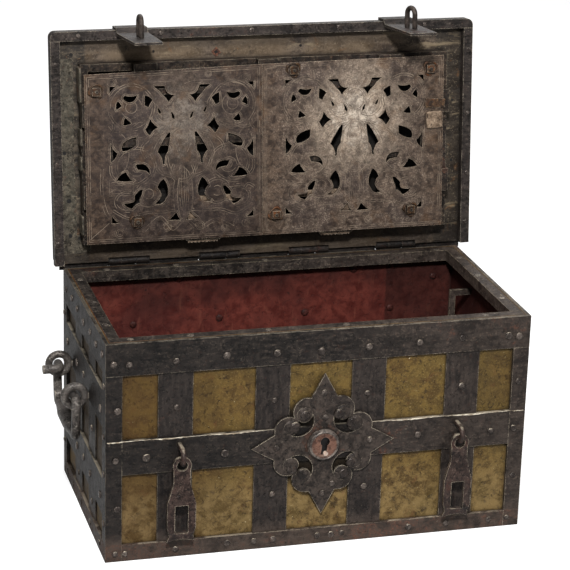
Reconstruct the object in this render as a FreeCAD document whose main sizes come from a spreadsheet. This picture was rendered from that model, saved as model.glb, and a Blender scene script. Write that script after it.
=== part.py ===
"""Armada chest: an iron strong box of riveted sheets and bands, with its lid thrown back.

The frame has its origin at the centre of the underside, +X to the right as the chest is seen
from the front, +Y to the back and +Z up. Lengths are in millimetres and angles in degrees.
Everything on the lid is drawn with the lid shut, measured from the hinge line, and is then
swung open about that line.
"""

import FreeCAD, Part
import math
import os

from FreeCAD import Placement, Rotation, Vector

doc = FreeCAD.newDocument("armada_chest")
sheet = doc.addObject("Spreadsheet::Sheet", "Sizes")

SIZES = [
    # Chest body, over the bands
    ("body_width", 660.0),
    ("body_depth", 350.0),
    ("body_height", 350.0),
    ("plate_thick", 2.5),
    ("floor_thick", 3.0),
    ("hole_fit", 0.15),
    ("running_gap", 0.3),
    ("bore_fit", 0.05),
    ("cut_over", 4.0),
    # Bands and straps outside the sheets
    ("band_stand", 5.5),
    ("strap_thick", 2.8),
    ("top_band_height", 51.0),
    ("bottom_band_height", 26.0),
    ("middle_band_height", 55.0),
    ("middle_band_share", 0.48),
    ("side_band_height", 58.0),
    ("side_upper_drop", 110.0),
    ("side_lower_level", 99.0),
    ("corner_leg", 25.0),
    ("strap_width", 53.0),
    ("strap_far_inset", 106.0),
    ("strap_near_share", 0.335),
    ("side_strap_reach", 55.0),
    # Frame bar round the mouth, under which the bolts catch
    ("mouth_bar_width", 17.0),
    ("mouth_bar_height", 18.0),
    # Hinges
    ("hinge_back", 3.0),
    ("hinge_rise", 6.0),
    ("knuckle_radius", 6.0),
    ("hinge_pin_radius", 2.5),
    ("hinge_width", 62.0),
    ("knuckle_middle", 24.0),
    ("leaf_thick", 2.5),
    ("leaf_drop", 44.0),
    ("leaf_reach", 52.0),
    ("pin_head_radius", 3.6),
    ("pin_head_length", 1.8),
    ("lid_open_angle", 96.0),
    # Lid
    ("lid_side_over", 16.0),
    ("lid_front_over", 19.0),
    ("lid_back_over", 2.0),
    ("lid_plate_thick", 2.7),
    ("lid_band_thick", 4.0),
    ("lid_strap_thick", 2.0),
    ("lid_rim_width", 15.0),
    ("lid_rim_height", 15.3),
    ("lid_band_width", 51.0),
    ("lid_corner_radius", 10.0),
    ("rear_lip_over", 11.0),
    ("rear_lip_lap", 12.0),
    ("rear_lip_thick", 1.5),
    ("knuckle_gap", 1.0),
    # Hasp tabs and padlock eyes on the lid's front
    ("hasp_inset", 6.0),
    ("tab_root_width", 50.0),
    ("tab_tip_width", 43.0),
    ("tab_thick", 4.0),
    ("tab_top_length", 40.0),
    ("tab_tip_rise", 31.5),
    ("tab_joggle", 7.5),
    ("tab_joggle_drop", 9.0),
    ("eye_rise", 95.5),
    ("eye_rod_radius", 4.0),
    ("eye_width", 28.0),
    ("right_eye_twist", 18.0),
    ("eye_stand", 36.0),
    # Hasps and their staples on the front
    ("hasp_pivot_rise", 4.5),
    ("hasp_pivot_stand", 19.0),
    ("staple_rod_radius", 4.0),
    ("staple_bend_radius", 11.25),
    ("hasp_ring_radius", 14.25),
    ("hasp_hole_radius", 8.25),
    ("hasp_thick", 5.0),
    ("hasp_neck_width", 26.0),
    ("hasp_body_width", 44.0),
    ("hasp_waist_width", 37.0),
    ("hasp_end_width", 43.0),
    ("hasp_end_hollow", 4.5),
    ("hasp_length", 141.0),
    ("hasp_neck_share", 0.31206),
    ("hasp_shoulder_share", 0.53901),
    ("hasp_slot_top_share", 0.56738),
    ("hasp_slot_share", 0.31915),
    ("hasp_slot_width", 20.0),
    ("hasp_hip_share", 0.82270),
    ("hasp_waist_share", 0.91489),
    ("hasp_bend_share", 0.87943),
    ("hasp_bend_in", 6.0),
    # False escutcheon on the front
    ("escutcheon_thick", 3.0),
    ("escutcheon_side", 4.5),
    ("escutcheon_drop", 1.5),
    ("escutcheon_half_width", 112.0),
    ("escutcheon_half_height", 115.0),
    ("lobe_near", 26.0),
    ("lobe_far", 55.0),
    ("lobe_radius", 22.0),
    ("crescent_distance", 55.9),
    ("crescent_radius", 24.0),
    ("scroll_end_near", 30.5),
    ("scroll_end_far", 50.0),
    ("scroll_end_radius", 12.3),
    ("scroll_dome_height", 3.4),
    ("boss_radius", 25.0),
    ("boss_height", 8.8),
    ("keyhole_radius", 7.2),
    ("keyhole_slot_width", 8.6),
    ("keyhole_height", 28.0),
    ("keyhole_tilt", 6.0),
    # Side handles
    ("handle_centre_back", 28.0),
    ("handle_spacing", 138.0),
    ("handle_drop", 131.0),
    ("ring_radius", 21.6),
    ("ring_hole_radius", 9.8),
    ("ring_shank", 8.0),
    ("clinch_size", 18.0),
    ("clinch_thick", 2.5),
    ("bail_rod_radius", 7.0),
    ("bail_side_gap", 3.0),
    ("bail_stub", 28.0),
    ("bail_drop", 62.0),
    ("bail_splay", 8.0),
    ("grip_radius", 11.0),
    ("grip_length", 112.0),
    ("grip_end_length", 34.0),
    # Bracket inside the right wall
    ("bracket_reach", 36.0),
    ("bracket_back", 70.0),
    ("bracket_bar", 10.0),
    ("bracket_thick", 5.0),
    ("bracket_top_drop", 41.0),
    ("bracket_height", 84.0),
    # Lock on the lid's inside
    ("lock_side_gap", 4.0),
    ("lock_end_gap", 7.0),
    ("lock_bar_width", 12.0),
    ("bolt_top", 26.0),
    ("bolt_bar_thick", 5.0),
    ("bolt_layer_gap", 1.0),
    ("bolt_bar_width", 18.0),
    ("cross_bar_width", 10.0),
    ("head_width", 30.0),
    ("rear_head_width", 48.0),
    ("rear_head_extra", 4.0),
    ("rib_width", 3.0),
    ("rib_depth", 1.2),
    ("side_head_share", 0.45454545),
    ("front_head_reach", 200.0),
    ("rear_head_reach", 110.0),
    ("side_cross_inset", 47.0),
    ("front_cross_inset", 51.0),
    ("rear_cross_inset", 70.0),
    ("guide_wall", 3.0),
    ("guide_thick", 1.6),
    ("slide_gap", 0.4),
    ("spindle_turn", 60.0),
    ("crank_radius", 16.0),
    ("crank_pin_radius", 3.5),
    ("crank_slot_gap", 0.6),
    ("crank_wall", 4.0),
    ("crank_disc_radius", 23.0),
    ("crank_disc_thick", 4.0),
    ("spindle_radius", 7.0),
    ("spindle_foot_radius", 3.5),
    ("key_square", 9.0),
    ("key_hole_gap", 1.0),
    ("bush_radius", 12.0),
    ("bush_flange_radius", 20.0),
    ("bush_flange_thick", 2.0),
    # Openwork covers over the lock
    ("cover_side_inset", 7.0),
    ("cover_end_inset", 3.0),
    ("cover_thick", 2.0),
    ("cover_seam", 0.6),
    ("cover_seam_left", 12.8),
    ("cover_shift_left", 4.0),
    ("cover_trim_left", 11.0),
    ("cover_trim_seam", 4.2),
    ("cover_trim_right", 0.5),
    ("cover_drop", 36.3),
    ("left_pattern_share", 0.4854),
    ("right_pattern_share", 0.4779),
    ("pattern_width_share", 0.4014),
    ("pattern_height_share", 0.7786),
    ("post_radius", 4.0),
    ("post_shank_radius", 2.5),
    ("nut_size", 13.0),
    ("nut_height", 6.0),
    ("post_end", 2.5),
    ("post_bar_gap", 1.0),
    # Key plate and its swinging cover on the lid's outside
    ("key_plate_radius", 36.0),
    ("key_plate_thick", 2.0),
    ("key_cover_length", 62.0),
    ("key_cover_radius", 15.0),
    ("key_cover_thick", 2.5),
    ("key_cover_pivot", 24.0),
    ("cover_rivet_radius", 3.0),
    ("cover_rivet_head", 5.5),
]

SIGNS = [-1, 1]


class Size:
    """A size that knows its expression on the sheet as well as its present value."""

    def __init__(self, text, value):
        self.text = text
        self.value = value

    def __str__(self):
        return self.text

    def __float__(self):
        return self.value

    def __neg__(self):
        return Size(f"(0 - {self.text})", -self.value)

    def __add__(self, other):
        return Size(f"({self} + {other})", self.value + float(other))

    def __radd__(self, other):
        return Size(f"({other} + {self})", float(other) + self.value)

    def __sub__(self, other):
        return Size(f"({self} - {other})", self.value - float(other))

    def __rsub__(self, other):
        return Size(f"({other} - {self})", float(other) - self.value)

    def __mul__(self, other):
        return Size(f"({self} * {other})", self.value * float(other))

    def __rmul__(self, other):
        return Size(f"({other} * {self})", float(other) * self.value)

    def __truediv__(self, other):
        return Size(f"({self} / {other})", self.value / float(other))


class Sheet:
    """Reads the sheet: every alias is an attribute of this object."""

    def __getattr__(self, alias):
        return Size(f"Sizes.{alias}", float(sheet.get(alias)))


for row, (alias, value) in enumerate(SIZES, start=1):
    sheet.set(f"A{row}", alias)
    sheet.set(f"B{row}", str(value))
    sheet.setAlias(f"B{row}", alias)
doc.recompute()
g = Sheet()

# Places that several pieces share
sheet_half_x = g.body_width / 2 - g.band_stand
sheet_half_y = g.body_depth / 2 - g.band_stand
inside_half_x = sheet_half_x - g.plate_thick
inside_half_y = sheet_half_y - g.plate_thick
mouth_half_x = inside_half_x - g.mouth_bar_width
mouth_half_y = inside_half_y - g.mouth_bar_width
hinge_y = g.body_depth / 2 + g.hinge_back
hinge_z = g.body_height + g.hinge_rise
strap_far = g.body_width / 2 - g.strap_far_inset
strap_near = g.strap_near_share * strap_far
strap_places = [-strap_far, -strap_near, strap_near, strap_far]
hasp_reach = strap_far - g.hasp_inset
middle_band_level = g.middle_band_share * g.body_height
side_upper_level = g.body_height - g.side_upper_drop
handle_level = g.body_height - g.handle_drop
hasp_pivot_level = middle_band_level + g.hasp_pivot_rise
lock_half_width = mouth_half_x - g.lock_side_gap
lock_half_depth = mouth_half_y - g.lock_end_gap
side_head_reach = g.side_head_share * lock_half_depth
cover_half_width = lock_half_width - g.cover_side_inset
cover_half_depth = lock_half_depth - g.cover_end_inset
cover_low_x = -cover_half_width - g.cover_shift_left
cover_high_x = cover_half_width - g.cover_shift_left
post_half_depth = lock_half_depth - g.lock_bar_width - g.post_bar_gap - g.post_radius
escutcheon_level = middle_band_level - g.escutcheon_drop
hasp_slot_top = g.hasp_slot_top_share * g.hasp_length
hasp_slot_length = g.hasp_slot_share * g.hasp_length
hasp_bend_level = g.hasp_bend_share * g.hasp_length
side_strap_places = [-g.side_strap_reach, g.side_strap_reach]

# Levels on the shut lid, measured from the hinge line
lid_inner = g.running_gap - g.hinge_rise
lid_top_of_plate = lid_inner + g.lid_plate_thick
lid_top = lid_top_of_plate + g.lid_band_thick
lid_front = -(g.body_depth / 2 + g.lid_front_over) - hinge_y
lid_back = g.body_depth / 2 + g.lid_back_over - hinge_y
lid_half = g.body_width / 2 + g.lid_side_over
chest_middle = -1 * hinge_y

pieces = []


def bind(thing, prop, amount):
    """Ties a property to the sheet, or sets it where the amount is a plain zero."""
    if isinstance(amount, Size):
        thing.setExpression(prop, str(amount))
    elif "." not in prop:
        setattr(thing, prop, amount)


def place(thing, x=0, y=0, z=0):
    """Puts a thing at a point given by sizes."""
    thing.Placement = Placement(Vector(float(x), float(y), float(z)), thing.Placement.Rotation)
    for letter, amount in zip("xyz", (x, y, z)):
        bind(thing, f"Placement.Base.{letter}", amount)


def box(name, lengths, corner):
    """A box with the given lengths along X, Y and Z from its lowest corner."""
    thing = doc.addObject("Part::Box", name)
    for prop, amount in zip(("Length", "Width", "Height"), lengths):
        bind(thing, prop, amount)
    place(thing, *corner)
    return thing


TURNED = {"x": Rotation(Vector(0, 1, 0), 90), "y": Rotation(Vector(1, 0, 0), -90), "z": Rotation()}


def rod(name, radius, length, start, along="z"):
    """A cylinder from its start point along the positive direction of one axis."""
    thing = doc.addObject("Part::Cylinder", name)
    bind(thing, "Radius", radius)
    bind(thing, "Height", length)
    thing.Placement = Placement(Vector(), TURNED[along])
    place(thing, *start)
    return thing


def fused(name, parts):
    """The union of several pieces."""
    if len(parts) == 1:
        return parts[0]
    thing = doc.addObject("Part::MultiFuse", name)
    thing.Shapes = parts
    return thing


def cut(name, base, tools):
    """A base with the tools taken away."""
    thing = doc.addObject("Part::Cut", name)
    thing.Base = base
    thing.Tool = fused(name + "_tools", tools)
    return thing


def group(name, parts):
    """Separate solids that share one node."""
    thing = doc.addObject("Part::Compound", name)
    thing.Links = parts
    return thing


def shaped(name, shape):
    """A piece whose shape comes from the geometry functions."""
    thing = doc.addObject("Part::Feature", name)
    thing.Shape = shape
    return thing


def keep(label, thing, on_lid=False):
    """Registers a finished sub-part; a lid piece is swung open with the lid."""
    thing.Label = label
    if on_lid:
        swing(thing)
    pieces.append((label, thing))
    return thing


def swing(thing):
    """Turns a piece that was drawn with the lid shut to the open lid's place."""
    thing.Placement = Placement(
        Vector(0, float(hinge_y), float(hinge_z)),
        Rotation(Vector(1, 0, 0), -float(g.lid_open_angle)),
    )
    thing.setExpression("Placement.Base.y", str(hinge_y))
    thing.setExpression("Placement.Base.z", str(hinge_z))
    thing.setExpression("Placement.Rotation.Angle", str(-g.lid_open_angle))


def vec(x=0, y=0, z=0):
    """A point from sizes."""
    return Vector(float(x), float(y), float(z))


def outline(points):
    """Straight edges through the points and back to the first."""
    return [Part.LineSegment(a, b) for a, b in zip(points, points[1:] + points[:1])]


def rectangle(low_x, low_y, high_x, high_y):
    """The four edges of a rectangle."""
    return outline([vec(low_x, low_y), vec(high_x, low_y), vec(high_x, high_y), vec(low_x, high_y)])


def ring(centre, radius):
    """A full circle in the sketch plane."""
    return [Part.Circle(centre, Vector(0, 0, 1), float(radius))]


def sketch_on(body, role, name, edges, offset=None):
    """A sketch on one of the body's own origin planes, lifted off it by the offset."""
    sketch = body.newObject("Sketcher::SketchObject", name)
    plane = next(item for item in body.Origin.OriginFeatures if item.Role == role)
    sketch.AttachmentSupport = [(plane, "")]
    sketch.MapMode = "FlatFace"
    for edge in edges:
        sketch.addGeometry(edge, False)
    if offset is not None:
        bind(sketch, "AttachmentOffset.Base.z", offset)
    return sketch


def pad(body, name, sketch, length, reverse=False):
    """Adds the sketch's area to the body over a length."""
    feature = body.newObject("PartDesign::Pad", name)
    feature.Profile = sketch
    bind(feature, "Length", length)
    feature.Reversed = reverse
    return feature


def pocket(body, name, sketch, length, reverse=False):
    """Takes the sketch's area out of the body over a length."""
    feature = body.newObject("PartDesign::Pocket", name)
    feature.Profile = sketch
    bind(feature, "Length", length)
    feature.Reversed = reverse
    return feature


def bent_rod(points, radius, bend_radius):
    """A round bar through the points: straight runs joined by round bends."""
    thick = float(radius)
    bend = float(bend_radius)
    solids = []
    start = points[0]
    for before, corner, after in zip(points, points[1:], points[2:]):
        back = (before - corner).normalize()
        ahead = (after - corner).normalize()
        half = back.getAngle(ahead) / 2
        setback = bend / math.tan(half)
        arc_start = corner + back * setback
        centre = corner + (back + ahead).normalize() * (bend / math.sin(half))
        solids.append(round_run(start, arc_start, thick))
        turn = 180 - math.degrees(2 * half)
        solids.append(round_bend(arc_start, -back, centre, turn, thick))
        start = corner + ahead * setback
    solids.append(round_run(start, points[-1], thick))
    return solids[0].fuse(solids[1:]).removeSplitter()


def round_run(start, end, radius):
    """A straight round bar between two points."""
    return Part.makeCylinder(radius, (end - start).Length, start, end - start)


def round_bend(start, direction, centre, turn, radius):
    """A round bar that leaves the start along the direction and bends about the centre."""
    axis = (start - centre).cross(direction)
    face = Part.Face(Part.Wire([Part.Circle(start, direction, radius).toShape()]))
    return face.revolve(centre, axis, turn)


# Body sheets
def staple_holes(name):
    """Holes in the front for the legs of the two hasp staples."""
    holes = []
    for side in SIGNS:
        for up in SIGNS:
            holes.append(
                rod(
                    f"{name}_{side}_{up}",
                    g.staple_rod_radius + g.hole_fit,
                    g.band_stand + g.plate_thick + 2 * g.cut_over,
                    (
                        side * hasp_reach,
                        -g.body_depth / 2 - g.cut_over,
                        hasp_pivot_level + up * g.staple_bend_radius,
                    ),
                    "y",
                )
            )
    return holes


def shank_holes(name, side):
    """Square holes in one side for the shanks of its two handle rings."""
    holes = []
    width = g.ring_shank + 2 * g.hole_fit
    low_x = side * g.body_width / 2 - g.band_stand - g.plate_thick - g.cut_over
    for end in SIGNS:
        y = g.handle_centre_back + end * g.handle_spacing / 2
        holes.append(
            box(
                f"{name}_{end}",
                (2 * (g.band_stand + g.plate_thick + g.cut_over), width, width),
                (low_x, y - width / 2, handle_level - width / 2),
            )
        )
    return holes


def body_sheets():
    """Front, back, side and floor sheets, which meet face to face."""
    front = box(
        "front_plate",
        (2 * sheet_half_x, g.plate_thick, g.body_height),
        (-sheet_half_x, -sheet_half_y, 0),
    )
    keep("front_sheet", cut("front_drilled", front, staple_holes("front_hole")))
    back = box(
        "back_plate",
        (2 * sheet_half_x, g.plate_thick, g.body_height),
        (-sheet_half_x, inside_half_y, 0),
    )
    keep("back_sheet", back)
    for side, word in zip(SIGNS, ("left", "right")):
        low_x = -sheet_half_x if side < 0 else inside_half_x
        plate = box(
            f"{word}_plate",
            (g.plate_thick, 2 * inside_half_y, g.body_height),
            (low_x, -inside_half_y, 0),
        )
        keep(f"{word}_sheet", cut(f"{word}_drilled", plate, shank_holes(f"{word}_hole", side)))
    keep(
        "floor_sheet",
        box(
            "floor_plate",
            (2 * inside_half_x, 2 * inside_half_y, g.floor_thick),
            (-inside_half_x, -inside_half_y, 0),
        ),
    )


# Bands, straps and corner angles
def upright_straps(name, low_y):
    """Four upright straps, against the front or back sheet."""
    return [
        box(
            f"{name}_{number}",
            (g.strap_width, g.strap_thick, g.body_height),
            (x - g.strap_width / 2, low_y, 0),
        )
        for number, x in enumerate(strap_places)
    ]


def side_straps(name, low_x):
    """Two upright straps against one side sheet."""
    return [
        box(
            f"{name}_{number}",
            (g.strap_thick, g.strap_width, g.body_height),
            (low_x, y - g.strap_width / 2, 0),
        )
        for number, y in enumerate(side_strap_places)
    ]


front_strap_y = -(sheet_half_y + g.strap_thick)
right_strap_x = sheet_half_x


def long_band(name, low_z, height, half_length, face):
    """A level band on the front (face -1) or back (face 1), halved over the straps."""
    low_y = -g.body_depth / 2 if face < 0 else sheet_half_y
    bar = box(f"{name}_bar", (2 * half_length, g.band_stand, height), (-half_length, low_y, low_z))
    strap_y = front_strap_y if face < 0 else sheet_half_y
    return cut(name, bar, upright_straps(f"{name}_notch", strap_y))


def short_band(name, low_z, height, half_length, side):
    """A level band on the left (side -1) or right (side 1), halved over the straps."""
    low_x = -g.body_width / 2 if side < 0 else sheet_half_x
    bar = box(f"{name}_bar", (g.band_stand, 2 * half_length, height), (low_x, -half_length, low_z))
    strap_x = -(sheet_half_x + g.strap_thick) if side < 0 else right_strap_x
    return cut(name, bar, side_straps(f"{name}_notch", strap_x))


def body_bands():
    """Level bands of the four walls, over the upright straps."""
    keep("front_straps", group("front_strap_set", upright_straps_drilled()))
    keep("back_straps", group("back_strap_set", upright_straps("back_strap", sheet_half_y)))
    left = side_straps("left_strap", -(sheet_half_x + g.strap_thick))
    right = side_straps("right_strap", right_strap_x)
    left = [cut(f"left_strap_cut_{n}", s, shank_holes(f"left_strap_hole_{n}", -1)) for n, s in enumerate(left)]
    right = [cut(f"right_strap_cut_{n}", s, shank_holes(f"right_strap_hole_{n}", 1)) for n, s in enumerate(right)]
    keep("side_straps", group("side_strap_set", left + right))

    top_z = g.body_height - g.top_band_height
    between_x = g.body_width / 2 - g.corner_leg
    between_y = g.body_depth / 2 - g.corner_leg
    tops = []
    bottoms = []
    for face, word in zip(SIGNS, ("front", "back")):
        tops.append(long_band(f"top_{word}", top_z, g.top_band_height, g.body_width / 2, face))
        bottoms.append(long_band(f"bottom_{word}", 0, g.bottom_band_height, between_x, face))
    for side, word in zip(SIGNS, ("left", "right")):
        tops.append(short_band(f"top_{word}", top_z, g.top_band_height, sheet_half_y, side))
        bottoms.append(short_band(f"bottom_{word}", 0, g.bottom_band_height, between_y, side))
    keep("top_bands", group("top_band_set", tops))
    keep("bottom_bands", group("bottom_band_set", bottoms))

    middle_z = middle_band_level - g.middle_band_height / 2
    middle = long_band("middle_front", middle_z, g.middle_band_height, between_x, -1)
    keep("front_middle_band", cut("middle_front_drilled", middle, staple_holes("middle_hole")))
    keep("back_middle_band", long_band("middle_back", middle_z, g.middle_band_height, between_x, 1))
    upper_z = side_upper_level - g.side_band_height / 2
    lower_z = g.side_lower_level - g.side_band_height / 2
    for side, word in zip(SIGNS, ("left", "right")):
        upper = short_band(f"upper_{word}", upper_z, g.side_band_height, between_y, side)
        upper = cut(f"upper_{word}_drilled", upper, shank_holes(f"upper_{word}_hole", side))
        lower = short_band(f"lower_{word}", lower_z, g.side_band_height, between_y, side)
        keep(f"{word}_side_bands", group(f"{word}_band_set", [upper, lower]))


def upright_straps_drilled():
    """The front's straps, with the staples' holes in the two outer ones."""
    return [
        cut(f"front_strap_cut_{number}", strap, staple_holes(f"front_strap_hole_{number}"))
        for number, strap in enumerate(upright_straps("front_strap", front_strap_y))
    ]


def corner_angles():
    """Angle irons up the four corners, under the top band."""
    height = g.body_height - g.top_band_height
    inner = g.corner_leg - g.band_stand
    angles = []
    for x_side in SIGNS:
        for y_side in SIGNS:
            tag = f"{x_side}_{y_side}"
            low_x = -g.body_width / 2 if x_side < 0 else g.body_width / 2 - g.corner_leg
            low_y = -g.body_depth / 2 if y_side < 0 else g.body_depth / 2 - g.corner_leg
            hollow_x = -sheet_half_x if x_side < 0 else sheet_half_x - inner
            hollow_y = -sheet_half_y if y_side < 0 else sheet_half_y - inner
            block = box(f"angle_block_{tag}", (g.corner_leg, g.corner_leg, height), (low_x, low_y, 0))
            hollow = box(f"angle_hollow_{tag}", (inner, inner, height), (hollow_x, hollow_y, 0))
            angles.append(cut(f"angle_{tag}", block, [hollow]))
    keep("corner_angles", group("corner_angle_set", angles))


def mouth_bars():
    """Square bars riveted round the inside of the mouth."""
    low_z = g.body_height - g.mouth_bar_height
    long_lengths = (2 * inside_half_x, g.mouth_bar_width, g.mouth_bar_height)
    short_lengths = (g.mouth_bar_width, 2 * mouth_half_y, g.mouth_bar_height)
    keep("front_mouth_bar", box("front_bar", long_lengths, (-inside_half_x, -inside_half_y, low_z)))
    keep("back_mouth_bar", box("back_bar", long_lengths, (-inside_half_x, mouth_half_y, low_z)))
    keep("left_mouth_bar", box("left_bar", short_lengths, (-inside_half_x, -mouth_half_y, low_z)))
    keep("right_mouth_bar", box("right_bar", short_lengths, (mouth_half_x, -mouth_half_y, low_z)))


# Hinges
def body_leaves():
    """The hinge halves on the back: a leaf with a knuckle at each end."""
    leaves = []
    for number, x in enumerate(strap_places):
        low_x = x - g.hinge_width / 2
        plate = box(
            f"leaf_plate_{number}",
            (g.hinge_width, g.leaf_thick, g.leaf_drop + g.hinge_rise),
            (low_x, g.body_depth / 2, g.body_height - g.leaf_drop),
        )
        barrel = rod(f"leaf_barrel_{number}", g.knuckle_radius, g.hinge_width, (low_x, hinge_y, hinge_z), "x")
        gap_width = g.knuckle_middle + 2 * g.running_gap
        gap_size = 2 * (g.knuckle_radius + g.knuckle_gap)
        gap = box(
            f"leaf_gap_{number}",
            (gap_width, gap_size, gap_size),
            (x - gap_width / 2, hinge_y - gap_size / 2, hinge_z - gap_size / 2),
        )
        bore = rod(f"leaf_bore_{number}", g.hinge_pin_radius + g.bore_fit, g.hinge_width, (low_x, hinge_y, hinge_z), "x")
        leaves.append(cut(f"leaf_{number}", fused(f"leaf_solid_{number}", [plate, barrel]), [gap, bore]))
    keep("hinge_body_leaves", group("body_leaf_set", leaves))


def hinge_pins():
    """Headed pins through the knuckles."""
    pins = []
    for number, x in enumerate(strap_places):
        low_x = x - g.hinge_width / 2
        shaft = rod(f"pin_shaft_{number}", g.hinge_pin_radius, g.hinge_width, (low_x, hinge_y, hinge_z), "x")
        left_head = (low_x - g.pin_head_length, hinge_y, hinge_z)
        right_head = (x + g.hinge_width / 2, hinge_y, hinge_z)
        heads = [
            rod(f"pin_head_{number}_{end}", g.pin_head_radius, g.pin_head_length, start, "x")
            for end, start in enumerate((left_head, right_head))
        ]
        pins.append(fused(f"pin_{number}", [shaft] + heads))
    keep("hinge_pins", group("pin_set", pins))


def lid_leaves():
    """The hinge halves on the lid: a leaf on the rear band with one middle knuckle."""
    leaves = []
    neck = g.knuckle_radius + g.knuckle_gap
    for number, x in enumerate(strap_places):
        plate = box(
            f"lid_leaf_plate_{number}",
            (g.hinge_width, g.leaf_reach - neck, g.leaf_thick),
            (x - g.hinge_width / 2, -g.leaf_reach, lid_top),
        )
        low_x = x - g.knuckle_middle / 2
        tongue = box(f"lid_leaf_tongue_{number}", (g.knuckle_middle, neck, g.leaf_thick), (low_x, -neck, lid_top))
        barrel = rod(f"lid_knuckle_{number}", g.knuckle_radius, g.knuckle_middle, (low_x, 0, 0), "x")
        bore = rod(f"lid_bore_{number}", g.hinge_pin_radius + g.bore_fit, g.knuckle_middle, (low_x, 0, 0), "x")
        leaves.append(cut(f"lid_leaf_{number}", fused(f"lid_leaf_solid_{number}", [plate, tongue, barrel]), [bore]))
    keep("hinge_lid_leaves", group("lid_leaf_set", leaves), on_lid=True)


# Lid
def hinge_notches(name):
    """Clearance in the lid's rear edge round the knuckles."""
    size = g.knuckle_radius + g.knuckle_gap
    width = g.hinge_width + 2 * (g.pin_head_length + g.knuckle_gap)
    return [
        box(f"{name}_{number}", (width, 2 * size, 2 * size), (x - width / 2, -size, -size))
        for number, x in enumerate(strap_places)
    ]


def lid_plate():
    """The lid's sheet, with rounded corners, hinge notches and the key's hole."""
    body = doc.addObject("PartDesign::Body", "lid_plate_body")
    radius = g.lid_corner_radius
    edges = rounded_rectangle(-lid_half, lid_front, lid_half, lid_back, radius)
    sketch = sketch_on(body, "XY_Plane", "lid_plate_sketch", edges, lid_inner)
    pad(body, "lid_plate_pad", sketch, g.lid_plate_thick)
    key = rod(
        "lid_key_hole",
        g.spindle_radius + g.bore_fit,
        g.lid_plate_thick + 2 * g.cut_over,
        (0, chest_middle, lid_inner - g.cut_over),
    )
    keep("lid_sheet", cut("lid_plate_cut", body, hinge_notches("lid_notch") + [key]), on_lid=True)


def rounded_rectangle(low_x, low_y, high_x, high_y, radius):
    """The edges of a rectangle with round corners."""
    x0, y0, x1, y1, r = (float(amount) for amount in (low_x, low_y, high_x, high_y, radius))
    diagonal = r * math.sqrt(0.5)
    edges = []
    turns = [(x1 - r, y0 + r, 1, -1), (x1 - r, y1 - r, 1, 1), (x0 + r, y1 - r, -1, 1), (x0 + r, y0 + r, -1, -1)]
    ends = []
    for cx, cy, sx, sy in turns:
        on_x = Vector(cx + sx * r, cy, 0)
        on_y = Vector(cx, cy + sy * r, 0)
        middle = Vector(cx + sx * diagonal, cy + sy * diagonal, 0)
        first, last = (on_y, on_x) if sx * sy < 0 else (on_x, on_y)
        ends.append((first, last))
        edges.append(Part.Arc(first, middle, last))
    for (_, last), (first, _) in zip(ends, ends[1:] + ends[:1]):
        edges.append(Part.LineSegment(last, first))
    return edges


def lid_straps():
    """Four straps from front to back over the lid, under its level bands."""
    straps = []
    for number, x in enumerate(strap_places):
        straps.append(
            box(
                f"lid_strap_{number}",
                (g.strap_width, lid_back - lid_front, g.lid_strap_thick),
                (x - g.strap_width / 2, lid_front, lid_top_of_plate),
            )
        )
    return straps


def lid_bands():
    """Bands round the edge of the lid and one along its middle, over the straps."""
    body = doc.addObject("PartDesign::Body", "lid_band_body")
    edges = rounded_rectangle(-lid_half, lid_front, lid_half, lid_back, g.lid_corner_radius)
    sketch = sketch_on(body, "XY_Plane", "lid_band_sketch", edges, lid_top_of_plate)
    pad(body, "lid_band_pad", sketch, g.lid_band_thick)
    windows = []
    low_x = -lid_half + g.lid_band_width
    middle_low = chest_middle - g.middle_band_height / 2
    middle_high = chest_middle + g.middle_band_height / 2
    spans = [(lid_front + g.lid_band_width, middle_low), (middle_high, lid_back - g.lid_band_width)]
    for number, (low_y, high_y) in enumerate(spans):
        windows.append(
            box(
                f"lid_window_{number}",
                (-2 * low_x, high_y - low_y, g.lid_band_thick + 2 * g.cut_over),
                (low_x, low_y, lid_top_of_plate - g.cut_over),
            )
        )
    plate_hole = rod(
        "lid_band_hole",
        g.key_plate_radius - g.cut_over,
        g.lid_band_thick + 2 * g.cut_over,
        (0, chest_middle, lid_top_of_plate - g.cut_over),
    )
    tools = windows + lid_straps() + hinge_notches("lid_band_notch") + [plate_hole]
    keep("lid_bands", cut("lid_band_cut", body, tools), on_lid=True)
    notched = [
        cut(f"lid_strap_cut_{number}", strap, hinge_notches(f"lid_strap_notch_{number}"))
        for number, strap in enumerate(lid_straps())
    ]
    keep("lid_straps", group("lid_strap_set", notched), on_lid=True)


def lid_rear_lips():
    """Thin strips on the rear band, between the hinges, that hang behind the joint of an open lid."""
    half_gap = g.hinge_width / 2 + g.pin_head_length + g.knuckle_gap
    half_length = lid_half - g.lid_corner_radius
    ends = [half_length]
    for x in reversed(strap_places):
        ends += [x + half_gap, x - half_gap]
    ends.append(-half_length)
    lips = []
    for number, (high_x, low_x) in enumerate(zip(ends[::2], ends[1::2])):
        lips.append(
            box(
                f"rear_lip_{number}",
                (high_x - low_x, g.rear_lip_lap + g.rear_lip_over, g.rear_lip_thick),
                (low_x, lid_back - g.rear_lip_lap, lid_top),
            )
        )
    keep("lid_rear_lips", group("rear_lip_set", lips), on_lid=True)


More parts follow.
